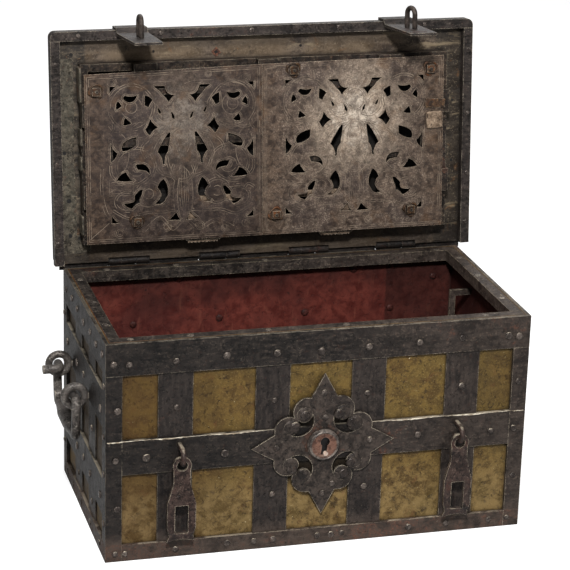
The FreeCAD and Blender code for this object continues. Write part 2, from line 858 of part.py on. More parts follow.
def lid_rims():
    """Bars under the lid's front and side edges, which hang over the body."""
    low_z = lid_inner - g.lid_rim_height
    side_low_y = lid_front + g.lid_rim_width
    front = box(
        "lid_front_bar",
        (2 * lid_half, g.lid_rim_width, g.lid_rim_height),
        (-lid_half, lid_front, low_z),
    )
    rounded = doc.addObject("Part::Fillet", "lid_front_round")
    rounded.Base = front
    doc.recompute()
    corners = []
    for number, edge in enumerate(front.Shape.Edges, start=1):
        upright = abs(edge.tangentAt(edge.FirstParameter).z) > 0.9
        if upright and edge.CenterOfMass.y < float(lid_front + g.lid_rim_width / 2):
            corners.append((number, float(g.lid_corner_radius), float(g.lid_corner_radius)))
    rounded.Edges = corners
    keep("lid_front_rim", rounded_holder("lid_front_rim_piece", rounded), on_lid=True)
    for side, word in zip(SIGNS, ("left", "right")):
        low_x = -lid_half if side < 0 else lid_half - g.lid_rim_width
        bar = box(
            f"lid_{word}_bar",
            (g.lid_rim_width, lid_back - side_low_y, g.lid_rim_height),
            (low_x, side_low_y, low_z),
        )
        keep(f"lid_{word}_rim", rounded_holder(f"lid_{word}_rim_piece", bar), on_lid=True)


def rounded_holder(name, thing):
    """Carries one piece, so that the swing of the lid is its only placement."""
    return group(name, [thing])


# Hasp tabs and eyes
def tab(side):
    """A strap that folds over the lid's front edge and hangs down the front."""
    body = doc.addObject("PartDesign::Body", f"tab_body_{side}")
    outer = lid_front - g.tab_thick
    top = lid_top + g.tab_thick
    under = lid_inner - g.lid_rim_height
    tip = hasp_pivot_level + g.tab_tip_rise - hinge_z
    joggle_end = under - g.tab_joggle_drop
    profile = outline(
        [
            vec(lid_front + g.tab_top_length, lid_top),
            vec(lid_front + g.tab_top_length, top),
            vec(outer, top),
            vec(outer, under - g.tab_thick / 4),
            vec(outer + g.tab_joggle, joggle_end),
            vec(outer + g.tab_joggle, tip),
            vec(lid_front + g.tab_joggle, tip),
            vec(lid_front + g.tab_joggle, joggle_end),
            vec(lid_front, under),
            vec(lid_front, lid_top),
        ]
    )
    half_root = g.tab_root_width / 2
    half_tip = g.tab_tip_width / 2
    centre = side * hasp_reach
    sketch = sketch_on(body, "YZ_Plane", f"tab_side_{side}", profile, centre - half_root)
    pad(body, f"tab_pad_{side}", sketch, g.tab_root_width)
    for edge_side in SIGNS:
        root_x = centre + edge_side * half_root
        tip_x = centre + edge_side * half_tip
        over_x = centre + edge_side * (half_root + g.cut_over)
        trim = outline(
            [vec(root_x, under), vec(tip_x, tip), vec(tip_x, tip - g.cut_over), vec(over_x, tip - g.cut_over), vec(over_x, under)]
        )
        cutter = sketch_on(body, "XZ_Plane", f"tab_trim_{side}_{edge_side}", trim)
        pocket(body, f"tab_pocket_{side}_{edge_side}", cutter, -2 * lid_front, reverse=True)
    return body


def tabs_and_eyes():
    """Both tabs, and the round loops for the padlocks; the right loop is twisted."""
    face = lid_front + g.tab_joggle - g.tab_thick
    level = hasp_pivot_level + g.eye_rise - hinge_z
    spread = g.eye_width / 2 - g.eye_rod_radius
    bend_y = face - g.eye_stand + g.eye_width / 2
    loops = []
    for side, word, twist in zip(SIGNS, ("left", "right"), (0, float(g.right_eye_twist))):
        across = -math.sin(math.radians(twist))
        up = math.cos(math.radians(twist))
        drills = []
        legs = []
        for end in SIGNS:
            x = side * hasp_reach + end * across * spread
            z = level + end * up * spread
            legs.append((x, z))
            start = (x, face - g.cut_over, z)
            length = g.tab_thick + 2 * g.cut_over
            drills.append(rod(f"tab_hole_{side}_{end}", g.eye_rod_radius + g.hole_fit, length, start, "y"))
        keep(f"{word}_hasp_tab", cut(f"tab_drilled_{word}", tab(side), drills), on_lid=True)
        loops.append(shaped(f"eye_{word}", loop_rod(legs, bend_y, face + g.tab_thick, g.eye_rod_radius)))
    keep("padlock_eyes", group("padlock_eye_set", loops), on_lid=True)


def loop_rod(legs, bend_y, end_y, radius):
    """A round bar with two parallel legs along Y and a half-round crown in front."""
    thick = float(radius)
    (low_x, low_z), (high_x, high_z) = legs
    low = vec(low_x, bend_y, low_z)
    high = vec(high_x, bend_y, high_z)
    crown = round_bend(low, Vector(0, -1, 0), (low + high) * 0.5, 180, thick)
    runs = [round_run(vec(x, bend_y, z), vec(x, end_y, z), thick) for x, z in legs]
    return crown.fuse(runs).removeSplitter()


# Hasps and staples on the front
hasp_pivot_y = -(g.body_depth / 2 + g.hasp_pivot_stand)


def hasp_hole_drop():
    """How far the hasp's hole hangs below the pivot, its rim just clear of the staple."""
    room = g.staple_bend_radius - g.staple_rod_radius - g.running_gap
    square = float(room) ** 2 - float(g.hasp_thick / 2) ** 2
    return Size(
        f"(sqrt({room} * {room} - {g.hasp_thick} * {g.hasp_thick} / 4) + {g.hasp_hole_radius})",
        math.sqrt(square) + float(g.hasp_hole_radius),
    )


def hasp(side, word):
    """A forged hasp: ring, neck and a broad end with a slot for the padlock eye."""
    body = doc.addObject("PartDesign::Body", f"hasp_body_{word}")
    half = g.hasp_thick / 2
    hole_drop = hasp_hole_drop()
    top = g.hasp_ring_radius - hole_drop
    profile = outline(
        [
            vec(-half, top),
            vec(half, top),
            vec(half, -hasp_bend_level),
            vec(half + g.hasp_bend_in, -g.hasp_length),
            vec(half + g.hasp_bend_in - g.hasp_thick, -g.hasp_length),
            vec(-half, -hasp_bend_level),
        ]
    )
    sketch = sketch_on(body, "YZ_Plane", f"hasp_side_{word}", profile, -g.hasp_body_width / 2)
    pad(body, f"hasp_pad_{word}", sketch, g.hasp_body_width)
    surround = hasp_outline() + rectangle(
        -g.hasp_body_width, -g.hasp_length - g.cut_over, g.hasp_body_width, top + g.cut_over
    )
    trim = sketch_on(body, "XZ_Plane", f"hasp_trim_{word}", surround, -g.hasp_bend_in - g.hasp_thick)
    pocket(body, f"hasp_trimmed_{word}", trim, 2 * (g.hasp_bend_in + g.hasp_thick), reverse=True)
    holes = ring(vec(0, -hole_drop), g.hasp_hole_radius) + rectangle(
        -g.hasp_slot_width / 2, -hasp_slot_top - hasp_slot_length, g.hasp_slot_width / 2, -hasp_slot_top
    )
    opening = sketch_on(body, "XZ_Plane", f"hasp_openings_{word}", holes, -g.hasp_bend_in - g.hasp_thick)
    pocket(body, f"hasp_pierced_{word}", opening, 2 * (g.hasp_bend_in + g.hasp_thick), reverse=True)
    place(body, side * hasp_reach, hasp_pivot_y, hasp_pivot_level)
    keep(f"{word}_hasp", body)


def hasp_outline():
    """The hasp seen from the front, with its pivot at the origin."""
    centre_z = -float(hasp_hole_drop())
    radius = float(g.hasp_ring_radius)
    neck = float(g.hasp_neck_width) / 2
    drop = math.sqrt(radius**2 - neck**2)
    right = [
        Vector(neck, centre_z - drop, 0),
        vec(neck, -g.hasp_neck_share * g.hasp_length),
        vec(g.hasp_body_width / 2, -g.hasp_shoulder_share * g.hasp_length),
        vec(g.hasp_body_width / 2, -g.hasp_hip_share * g.hasp_length),
        vec(g.hasp_waist_width / 2, -g.hasp_waist_share * g.hasp_length),
        vec(g.hasp_end_width / 2, -g.hasp_length),
    ]
    left = [Vector(-point.x, point.y, 0) for point in reversed(right)]
    edges = [Part.LineSegment(a, b) for a, b in zip(right, right[1:])]
    edges.append(Part.Arc(right[-1], vec(0, g.hasp_end_hollow - g.hasp_length), left[0]))
    edges += [Part.LineSegment(a, b) for a, b in zip(left, left[1:])]
    edges.append(Part.Arc(left[-1], Vector(0, centre_z + radius, 0), right[0]))
    return edges


def hasp_staples():
    """Round-bar staples through the front, each holding one hasp by its ring."""
    staples = []
    for side in SIGNS:
        x = side * hasp_reach
        legs = [(x, hasp_pivot_level + up * g.staple_bend_radius) for up in SIGNS]
        staples.append(shaped(f"staple_{side}", loop_rod(legs, hasp_pivot_y, -inside_half_y, g.staple_rod_radius)))
    keep("hasp_staples", group("hasp_staple_set", staples))


# False escutcheon and its boss
def escutcheon_outline():
    """Four points with a pair of round lobes between each two."""
    near = float(g.lobe_near)
    far = float(g.lobe_far)
    radius = float(g.lobe_radius)
    half_gap = (far - near) / math.sqrt(2)
    rise = math.sqrt(radius**2 - half_gap**2)
    cusp = ((near + far) / 2 + rise / math.sqrt(2),) * 2
    flank_angle = math.radians(104)
    shoulder = (near + radius * math.cos(flank_angle), far + radius * math.sin(flank_angle))
    crest_angle = (flank_angle + math.atan2(cusp[1] - far, cusp[0] - near)) / 2
    crest = (near + radius * math.cos(crest_angle), far + radius * math.sin(crest_angle))
    edges = []
    tips = {"x": float(g.escutcheon_half_width), "z": float(g.escutcheon_half_height)}
    for sx, sz in ((1, 1), (1, -1), (-1, -1), (-1, 1)):
        def at(pair, sx=sx, sz=sz):
            return Vector(sx * pair[0], sz * pair[1], 0)

        def swapped(pair):
            return (pair[1], pair[0])

        edges.append(Part.LineSegment(at((0, tips["z"])), at(shoulder)))
        edges.append(Part.Arc(at(shoulder), at(crest), at(cusp)))
        edges.append(Part.Arc(at(cusp), at(swapped(crest)), at(swapped(shoulder))))
        edges.append(Part.LineSegment(at(swapped(shoulder)), at((tips["x"], 0))))
    return edges


def crescent_openings():
    """A crescent on each diagonal, curling round the pair of scroll ends."""
    radius = float(g.crescent_radius)
    scroll = float(g.scroll_end_radius)
    out = Vector(1, 1, 0).normalize()
    across = Vector(-1, 1, 0).normalize()
    centre = out * float(g.crescent_distance)
    high_end = vec(g.scroll_end_near, g.scroll_end_far)
    reach = high_end - centre
    along_reach = (radius**2 - scroll**2 + reach.Length**2) / (2 * reach.Length)
    beside = math.sqrt(radius**2 - along_reach**2)
    ahead = reach.normalize()
    sideways = Vector(-ahead.y, ahead.x, 0)
    horn = centre + ahead * along_reach + sideways * beside
    throat = high_end - across * scroll
    belly = high_end + ((horn - high_end) + (throat - high_end)).normalize() * scroll
    edges = []
    for sx, sy in ((1, 1), (1, -1), (-1, -1), (-1, 1)):
        def at(point, sx=sx, sy=sy):
            return Vector(sx * point.x, sy * point.y, 0)

        def swapped(point):
            return Vector(point.y, point.x, 0)

        edges.append(Part.Arc(at(horn), at(centre - out * radius), at(swapped(horn))))
        edges.append(Part.Arc(at(swapped(horn)), at(swapped(belly)), at(swapped(throat))))
        edges.append(Part.LineSegment(at(swapped(throat)), at(throat)))
        edges.append(Part.Arc(at(throat), at(belly), at(horn)))
    return edges


def scroll_domes():
    """A low dome on each of the eight scroll ends."""
    height = float(g.scroll_dome_height)
    foot = float(g.scroll_end_radius - g.running_gap)
    ball = (foot**2 + height**2) / (2 * height)
    face = -float(g.body_depth / 2 + g.escutcheon_thick)
    middle_x = float(g.escutcheon_side)
    level = float(escutcheon_level)
    far_place = float(g.scroll_end_far)
    near_place = float(g.scroll_end_near)
    half_space = Part.makeBox(4 * ball, 2 * ball, 4 * ball, Vector(-2 * ball, -2 * ball, -2 * ball))
    cap = Part.makeSphere(ball, Vector(0, ball - height, 0)).common(half_space)
    domes = []
    for x, z in ((near_place, far_place), (far_place, near_place)):
        for sx in SIGNS:
            for sz in SIGNS:
                dome = cap.copy()
                dome.translate(Vector(middle_x + sx * x, face, level + sz * z))
                domes.append(shaped(f"scroll_dome_{len(domes)}", dome))
    return domes


def escutcheon():
    """The pierced plate on the front and the raised boss with its false keyhole."""
    body = doc.addObject("PartDesign::Body", "escutcheon_body")
    sketch = sketch_on(body, "XZ_Plane", "escutcheon_sketch", escutcheon_outline())
    pad(body, "escutcheon_pad", sketch, g.escutcheon_thick)
    windows = sketch_on(body, "XZ_Plane", "escutcheon_windows", crescent_openings(), -g.cut_over)
    pocket(body, "escutcheon_pierced", windows, g.escutcheon_thick + 2 * g.cut_over, reverse=True)
    place(body, g.escutcheon_side, -g.body_depth / 2, escutcheon_level)
    keep("false_escutcheon", fused("escutcheon_domed", [body] + scroll_domes()))

    boss = doc.addObject("PartDesign::Body", "boss_body")
    across = float(g.boss_radius)
    height = float(g.boss_height)
    profile = outline(
        [Vector(across_share * across, up_share * height, 0) for across_share, up_share in BOSS_SHARES]
    )
    round_form = sketch_on(boss, "XY_Plane", "boss_profile", profile)
    turned = boss.newObject("PartDesign::Revolution", "boss_round")
    turned.Profile = round_form
    turned.ReferenceAxis = (round_form, ["V_Axis"])
    turned.Angle = 360
    slot = sketch_on(boss, "XZ_Plane", "boss_keyhole", keyhole_outline(), -g.cut_over)
    pocket(boss, "boss_pierced", slot, g.boss_height + 2 * g.cut_over, reverse=False)
    boss.Placement = Placement(Vector(), Rotation(Vector(0, 0, 1), 180))
    place(boss, g.escutcheon_side, -(g.body_depth / 2 + g.escutcheon_thick), escutcheon_level)
    keep("keyhole_boss", boss)


# The boss's section: shares of its radius and of its height, from the middle of its back. A
# raised ring stands round a slightly sunk, domed disc.
BOSS_SHARES = [(0, 0), (1.0, 0), (1.0, 0.30), (0.93, 0.78), (0.87, 0.90), (0.80, 0.78), (0.45, 0.97), (0, 1.0)]


def keyhole_outline():
    """A keyhole: a round top and a straight slot, leaning a little."""
    radius = float(g.keyhole_radius)
    half = float(g.keyhole_slot_width) / 2
    centre = float(g.keyhole_height) / 2 - radius
    bottom = -float(g.keyhole_height) / 2
    join = centre - math.sqrt(radius**2 - half**2)
    lean = math.radians(float(g.keyhole_tilt))

    def at(x, z):
        return Vector(x * math.cos(lean) - z * math.sin(lean), x * math.sin(lean) + z * math.cos(lean), 0)

    return [
        Part.Arc(at(half, join), at(0, centre + radius), at(-half, join)),
        Part.LineSegment(at(-half, join), at(-half, bottom)),
        Part.LineSegment(at(-half, bottom), at(half, bottom)),
        Part.LineSegment(at(half, bottom), at(half, join)),
    ]


# Handles
ring_rod = (g.ring_radius - g.ring_hole_radius) / 2


def handle_rings():
    """Thick rings on square shanks, clinched on a washer inside the wall."""
    rings = []
    for side in SIGNS:
        centre_x = side * (g.body_width / 2 + g.ring_radius)
        for end in SIGNS:
            tag = f"{side}_{end}"
            y = g.handle_centre_back + end * g.handle_spacing / 2
            eye = doc.addObject("Part::Torus", f"ring_eye_{tag}")
            bind(eye, "Radius1", g.ring_radius - ring_rod)
            bind(eye, "Radius2", ring_rod)
            eye.Placement = Placement(Vector(), TURNED["y"])
            place(eye, centre_x, y, handle_level)
            reach = ring_rod + g.band_stand + g.plate_thick + g.clinch_thick
            low_x = -(g.body_width / 2) - ring_rod if side < 0 else inside_half_x - g.clinch_thick
            shank = box(
                f"ring_shank_{tag}",
                (reach, g.ring_shank, g.ring_shank),
                (low_x, y - g.ring_shank / 2, handle_level - g.ring_shank / 2),
            )
            clinch_x = -inside_half_x if side < 0 else inside_half_x - g.clinch_thick
            washer = box(
                f"ring_clinch_{tag}",
                (g.clinch_thick, g.clinch_size, g.clinch_size),
                (clinch_x, y - g.clinch_size / 2, handle_level - g.clinch_size / 2),
            )
            rings.append(fused(f"ring_{tag}", [eye, shank, washer]))
    keep("handle_rings", group("handle_ring_set", rings))


def handle(side, word):
    """A bail whose ends pass through the rings and turn outward, with a swelled grip."""
    x = side * float(g.body_width / 2 + g.ring_radius)
    out = side * float(g.bail_stub)
    middle = float(g.handle_centre_back)
    half = float(g.handle_spacing) / 2
    beside = float(ring_rod + g.bail_side_gap + g.bail_rod_radius)
    level = float(handle_level - g.ring_hole_radius + g.bail_rod_radius + g.running_gap)
    low = level - float(g.bail_drop)
    splay = float(g.bail_splay)
    points = [
        Vector(x + out, middle - half + beside, level),
        Vector(x, middle - half + beside, level),
        Vector(x, middle - half - beside, level),
        Vector(x, middle - half - beside + splay, low),
        Vector(x, middle + half + beside - splay, low),
        Vector(x, middle + half + beside, level),
        Vector(x, middle + half - beside, level),
        Vector(x + out, middle + half - beside, level),
    ]
    bar = bent_rod(points, g.bail_rod_radius, g.bail_side_gap + g.bail_rod_radius)
    grip = grip_solid(Vector(x, middle, low))
    keep(f"{word}_handle", shaped(f"{word}_bail", bar.fuse(grip).removeSplitter()))


def grip_solid(centre):
    """The thicker middle of the bail, tapering to the bar at both ends."""
    thin = float(g.bail_rod_radius)
    thick = float(g.grip_radius)
    half = float(g.grip_length) / 2
    end = half - float(g.grip_end_length)
    points = [
        Vector(0, -half, 0),
        Vector(thin, -half, 0),
        Vector(thick, -end, 0),
        Vector(thick, end, 0),
        Vector(thin, half, 0),
        Vector(0, half, 0),
    ]
    wire = Part.makePolygon(points + points[:1])
    solid = Part.Face(wire).revolve(Vector(0, 0, 0), Vector(0, 1, 0), 360)
    solid.translate(centre)
    return solid


def inner_bracket():
    """A bent bar standing off the right wall near the back."""
    low_x = inside_half_x - g.bracket_reach
    low_z = g.body_height - g.bracket_top_drop - g.bracket_height
    block = box(
        "bracket_block",
        (g.bracket_reach, g.bracket_thick, g.bracket_height),
        (low_x, g.bracket_back, low_z),
    )
    window = box(
        "bracket_window",
        (g.bracket_reach, g.bracket_thick, g.bracket_height - 2 * g.bracket_bar),
        (low_x + g.bracket_bar, g.bracket_back, low_z + g.bracket_bar),
    )
    keep("inner_bracket", cut("bracket_cut", block, [window]))


# Lock, drawn with the lid shut
bolt_high = lid_inner - g.bolt_top + g.bolt_bar_thick
upper_low = bolt_high - g.bolt_bar_thick
lower_low = upper_low - g.bolt_layer_gap - g.bolt_bar_thick
head_height = 2 * g.bolt_bar_thick + g.bolt_layer_gap
lock_bar_low = bolt_high + g.slide_gap
crank_swing = g.crank_radius * math.sin(math.radians(float(g.spindle_turn) / 2))
crank_reach = g.crank_radius * math.cos(math.radians(float(g.spindle_turn) / 2))
slot_half_along = g.crank_pin_radius + g.crank_slot_gap


def lock_frame():
    """Four bars round the lock, under the lid's sheet, that the bolts slide below."""
    height = lid_inner - lock_bar_low
    long_x = 2 * lock_half_width
    low_y = chest_middle - lock_half_depth
    side_length = 2 * (lock_half_depth - g.lock_bar_width)
    bars = [
        box("lock_front", (long_x, g.lock_bar_width, height), (-lock_half_width, low_y, lock_bar_low)),
        box(
            "lock_back",
            (long_x, g.lock_bar_width, height),
            (-lock_half_width, chest_middle + lock_half_depth - g.lock_bar_width, lock_bar_low),
        ),
        box(
            "lock_left",
            (g.lock_bar_width, side_length, height),
            (-lock_half_width, low_y + g.lock_bar_width, lock_bar_low),
        ),
        box(
            "lock_right",
            (g.lock_bar_width, side_length, height),
            (lock_half_width - g.lock_bar_width, low_y + g.lock_bar_width, lock_bar_low),
        ),
    ]
    keep("lock_frame", group("lock_frame_set", bars), on_lid=True)


BOLTS = [
    ("left_bolts", "x", -1, [-1, 1], side_head_reach, "head_width", "side_cross_inset"),
    ("right_bolts", "x", 1, [-1, 1], side_head_reach, "head_width", "side_cross_inset"),
    ("front_bolts", "y", -1, [-1, 0, 1], g.front_head_reach, "head_width", "front_cross_inset"),
    ("rear_bolts", "y", 1, [-1, 1], g.rear_head_reach, "rear_head_width", "rear_cross_inset"),
]


def along(axis, travel_low, travel_high, cross_low, cross_high):
    """Corner and lengths of a bar, whichever way its bolt slides."""
    if axis == "x":
        return (travel_low, chest_middle + cross_low), (travel_high - travel_low, cross_high - cross_low)
    return (cross_low, chest_middle + travel_low), (cross_high - cross_low, travel_high - travel_low)


def bar(name, axis, travel, cross, low_z, height):
    """A bar between two places along the travel and two across it."""
    corner, lengths = along(axis, *travel, *cross)
    return box(name, (*lengths, height), (*corner, low_z))


def ordered(a, b):
    """Two places, the lower one first."""
    return (a, b) if float(a) < float(b) else (b, a)


def bolt_set(name, axis, direction, heads, reach, width_name, inset_name):
    """One set of bolts: heads on a cross bar, with a stem to the crank's slot."""
    width = getattr(g, width_name)
    limit = lock_half_width if axis == "x" else lock_half_depth
    extra = g.rear_head_extra if name == "rear_bolts" else 0
    inset = getattr(g, inset_name)
    bar_low = lower_low if axis == "x" else upper_low
    cross_outer = direction * (limit - inset + g.cross_bar_width)
    cross_inner = direction * (limit - inset)
    spread = reach + width / 2
    parts = [
        bar(f"{name}_cross", axis, ordered(cross_inner, cross_outer), (-spread, spread), bar_low, g.bolt_bar_thick)
    ]
    for head in heads:
        middle = head * reach
        parts.append(
            bar(
                f"{name}_head_{head}",
                axis,
                ordered(cross_inner, direction * (limit + extra)),
                (middle - width / 2, middle + width / 2),
                lower_low,
                head_height,
            )
        )
    stem_side = direction if axis == "x" else -direction
    slot_travel = -direction * crank_swing
    tail_half = slot_half_along + g.crank_wall
    tail = ordered(slot_travel - tail_half, slot_travel + tail_half)
    tail_end = slot_travel - direction * tail_half
    slot_near = crank_reach - g.crank_pin_radius - g.crank_slot_gap
    slot_far = g.crank_radius + g.crank_pin_radius + g.crank_slot_gap
    tail_cross = ordered(stem_side * (slot_near - g.crank_wall), stem_side * (slot_far + g.crank_wall))
    stem_clear = crank_swing + g.crank_pin_radius + g.crank_slot_gap
    stem_cross = ordered(stem_side * stem_clear, stem_side * (slot_far + g.crank_wall))
    parts.append(bar(f"{name}_tail", axis, tail, tail_cross, bar_low, g.bolt_bar_thick))
    parts.append(bar(f"{name}_stem", axis, ordered(tail_end, cross_outer), stem_cross, bar_low, g.bolt_bar_thick))
    slot = bar(
        f"{name}_slot",
        axis,
        (slot_travel - slot_half_along, slot_travel + slot_half_along),
        ordered(stem_side * slot_near, stem_side * slot_far),
        bar_low - g.cut_over,
        g.bolt_bar_thick + 2 * g.cut_over,
    )
    tools = [slot]
    if name == "rear_bolts":
        tools += head_ribs(name, axis, direction, heads, reach, width, limit + extra)
    keep(name, cut(f"{name}_piece", fused(f"{name}_solid", parts), tools), on_lid=True)


def head_ribs(name, axis, direction, heads, reach, width, tip):
    """Filed grooves across the rear bolt heads' noses."""
    grooves = []
    pitch = 2 * g.rib_width
    count = int(float(width) / float(pitch))
    for head in heads:
        for number in range(count):
            start = head * reach - width / 2 + g.rib_width / 2 + number * pitch
            grooves.append(
                bar(
                    f"{name}_groove_{head}_{number}",
                    axis,
                    ordered(direction * (tip - g.rib_depth), direction * (tip + g.cut_over)),
                    (start, start + g.rib_width),
                    lower_low - g.cut_over,
                    head_height + 2 * g.cut_over,
                )
            )
    return grooves


def bolt_guides():
    """Staples under the lock frame that carry the bolt heads."""
    guides = []
    for name, axis, direction, heads, reach, width_name, _ in BOLTS:
        width = getattr(g, width_name)
        limit = lock_half_width if axis == "x" else lock_half_depth
        travel = ordered(direction * (limit - g.lock_bar_width), direction * limit)
        low = lower_low - g.slide_gap - g.guide_thick
        for head in heads:
            middle = head * reach
            clear = width / 2 + g.slide_gap
            outer = bar(
                f"guide_{name}_{head}",
                axis,
                travel,
                (middle - clear - g.guide_wall, middle + clear + g.guide_wall),
                low,
                lock_bar_low - low,
            )
            room = bar(
                f"guide_room_{name}_{head}",
                axis,
                travel,
                (middle - clear, middle + clear),
                low + g.guide_thick,
                lock_bar_low - low,
            )
            guides.append(cut(f"guide_piece_{name}_{head}", outer, [room]))
    keep("bolt_guides", group("guide_set", guides), on_lid=True)


def spindle():
    """The turning spindle: a disc with four pins that shift the four sets of bolts."""
    disc_low = bolt_high + g.running_gap
    disc_high = disc_low + g.crank_disc_thick
    solids = [
        rod("spindle_disc", g.crank_disc_radius, g.crank_disc_thick, (0, chest_middle, disc_low)),
        rod("spindle_shaft", g.spindle_radius, lid_top_of_plate - disc_high, (0, chest_middle, disc_high)),
        rod(
            "spindle_foot",
            g.spindle_foot_radius,
            disc_low - cover_top - g.running_gap,
            (0, chest_middle, cover_top + g.running_gap),
        ),
    ]
    first = 90 + float(g.spindle_turn) / 2
    for number in range(4):
        angle = math.radians(first - 90 * number)
        low = lower_low if number % 2 == 0 else upper_low
        centre_x = g.crank_radius * math.cos(angle)
        centre_y = chest_middle + g.crank_radius * math.sin(angle)
        solids.append(rod(f"crank_pin_{number}", g.crank_pin_radius, disc_low - low, (centre_x, centre_y, low)))
    solids.append(
        box(
            "spindle_square",
            (g.key_square, g.key_square, lid_top + g.key_plate_thick - g.running_gap - lid_top_of_plate),
            (-g.key_square / 2, chest_middle - g.key_square / 2, lid_top_of_plate),
        )
    )
    keep("spindle", fused("spindle_solid", solids), on_lid=True)


def spindle_bush():
    """The flanged bush under the lid's sheet that the spindle turns in."""
    disc_high = bolt_high + g.running_gap + g.crank_disc_thick
    low = disc_high + g.running_gap
    tube = rod("bush_tube", g.bush_radius, lid_inner - low, (0, chest_middle, low))
    flange = rod(
        "bush_flange",
        g.bush_flange_radius,
        g.bush_flange_thick,
        (0, chest_middle, lid_inner - g.bush_flange_thick),
    )
    bore = rod(
        "bush_bore",
        g.spindle_radius + g.bore_fit,
        lid_inner - low + g.cut_over,
        (0, chest_middle, low - g.cut_over / 2),
    )
    keep("spindle_bush", cut("bush_piece", fused("bush_solid", [tube, flange]), [bore]), on_lid=True)


# Openwork covers
cover_top = lid_inner - g.cover_drop + g.cover_thick
cover_low = cover_top - g.cover_thick

# Each opening of one half of a cover: shares of the pattern's half width out from its middle
# line and of its half height toward the lid's front, counter-clockwise, and the outward bulge
# of the side that starts at that corner as a share of the side.
OPENING_SHARES = [
    [(0.98, 1.0, 0.0), (0.88, 1.0, -0.1), (0.98, 0.895, 0.0)],
    [
        (0.39, 0.985, 0.0),
        (0.24, 0.985, 0.0),
        (0.215, 0.91, -0.16),
        (0.085, 0.85, -0.1),
        (0.18, 0.74, -0.06),
        (0.27, 0.86, -0.06),
    ],
    [(0.80, 0.83, 0.1), (0.77, 0.865, -0.1), (0.61, 0.865, 0.4)],
    [(0.505, 0.86, 0.08), (0.40, 0.785, -0.06), (0.455, 0.685, 0.0), (0.51, 0.71, 0.0)],
    [(0.87, 0.79, 0.06), (0.82, 0.71, 0.0), (0.89, 0.66, 0.12)],
    [(0.335, 0.67, 0.08), (0.285, 0.595, 0.0), (0.31, 0.58, 0.1)],
    [(0.155, 0.61, 0.08), (0.105, 0.535, 0.0), (0.105, 0.49, 0.0), (0.14, 0.52, 0.0)],
    [(0.44, 0.52, -0.08), (0.33, 0.385, -0.1), (0.445, 0.27, 0.05), (0.505, 0.365, -0.08)],
    [(0.775, 0.545, 0.0), (0.69, 0.46, 0.08), (0.80, 0.435, 0.06)],
    [(0.975, 0.26, -0.14), (0.885, 0.03, 0.1), (0.975, -0.095, 0.0)],
    [
        (0.78, 0.20, 0.05),
        (0.625, 0.26, 0.0),
        (0.63, 0.145, 0.1),
        (0.815, 0.06, 0.0),
        (0.83, 0.10, 0.12),
    ],
    [
        (0.19, 0.305, 0.0),
        (0.165, 0.30, 0.0),
        (0.18, 0.14, -0.05),
        (0.195, 0.03, -0.08),
        (0.245, -0.075, 0.0),
        (0.25, -0.155, 0.0),
        (0.28, -0.16, -0.1),
        (0.295, -0.045, -0.08),
        (0.345, 0.025, 0.03),
    ],
    [
        (0.645, -0.145, 0.05),
        (0.555, -0.14, 0.14),
        (0.465, -0.21, 0.1),
        (0.455, -0.30, -0.16),
        (0.535, -0.235, -0.06),
        (0.61, -0.225, 0.0),
    ],
    [(0.90, -0.365, 0.12), (0.77, -0.245, -0.12), (0.74, -0.31, -0.16), (0.665, -0.375, 0.05)],
    [
        (0.265, -0.37, 0.06),
        (0.22, -0.46, 0.06),
        (0.205, -0.56, 0.1),
        (0.235, -0.66, 0.14),
        (0.325, -0.74, 0.06),
        (0.395, -0.72, -0.14),
        (0.315, -0.65, -0.2),
        (0.31, -0.565, -0.12),
        (0.35, -0.50, 0.1),
    ],
    [
        (0.585, -0.515, 0.0),
        (0.55, -0.51, 0.05),
        (0.58, -0.62, -0.1),
        (0.59, -0.715, -0.16),
        (0.665, -0.75, 0.0),
        (0.70, -0.79, 0.08),
        (0.815, -0.705, -0.05),
        (0.68, -0.69, -0.15),
        (0.665, -0.61, 0.05),
    ],
    [(0.975, -0.885, 0.0), (0.925, -0.955, 0.0), (0.87, -0.99, 0.0), (0.975, -0.99, 0.0)],
    [(0.095, -0.87, -0.05), (0.038, -0.99, 0.0), (0.21, -0.985, -0.05)],
]


def curved_edges(corners):
    """Edges from corner to corner, each bulging sideways by its share of its length."""
    edges = []
    for (start, bulge), (end, _) in zip(corners, corners[1:] + corners[:1]):
        if abs(bulge) < 0.01:
            edges.append(Part.LineSegment(start, end))
            continue
        chord = end - start
        sideways = Vector(chord.y, -chord.x, 0) * bulge
        edges.append(Part.Arc(start, (start + end) * 0.5 + sideways, end))
    return edges


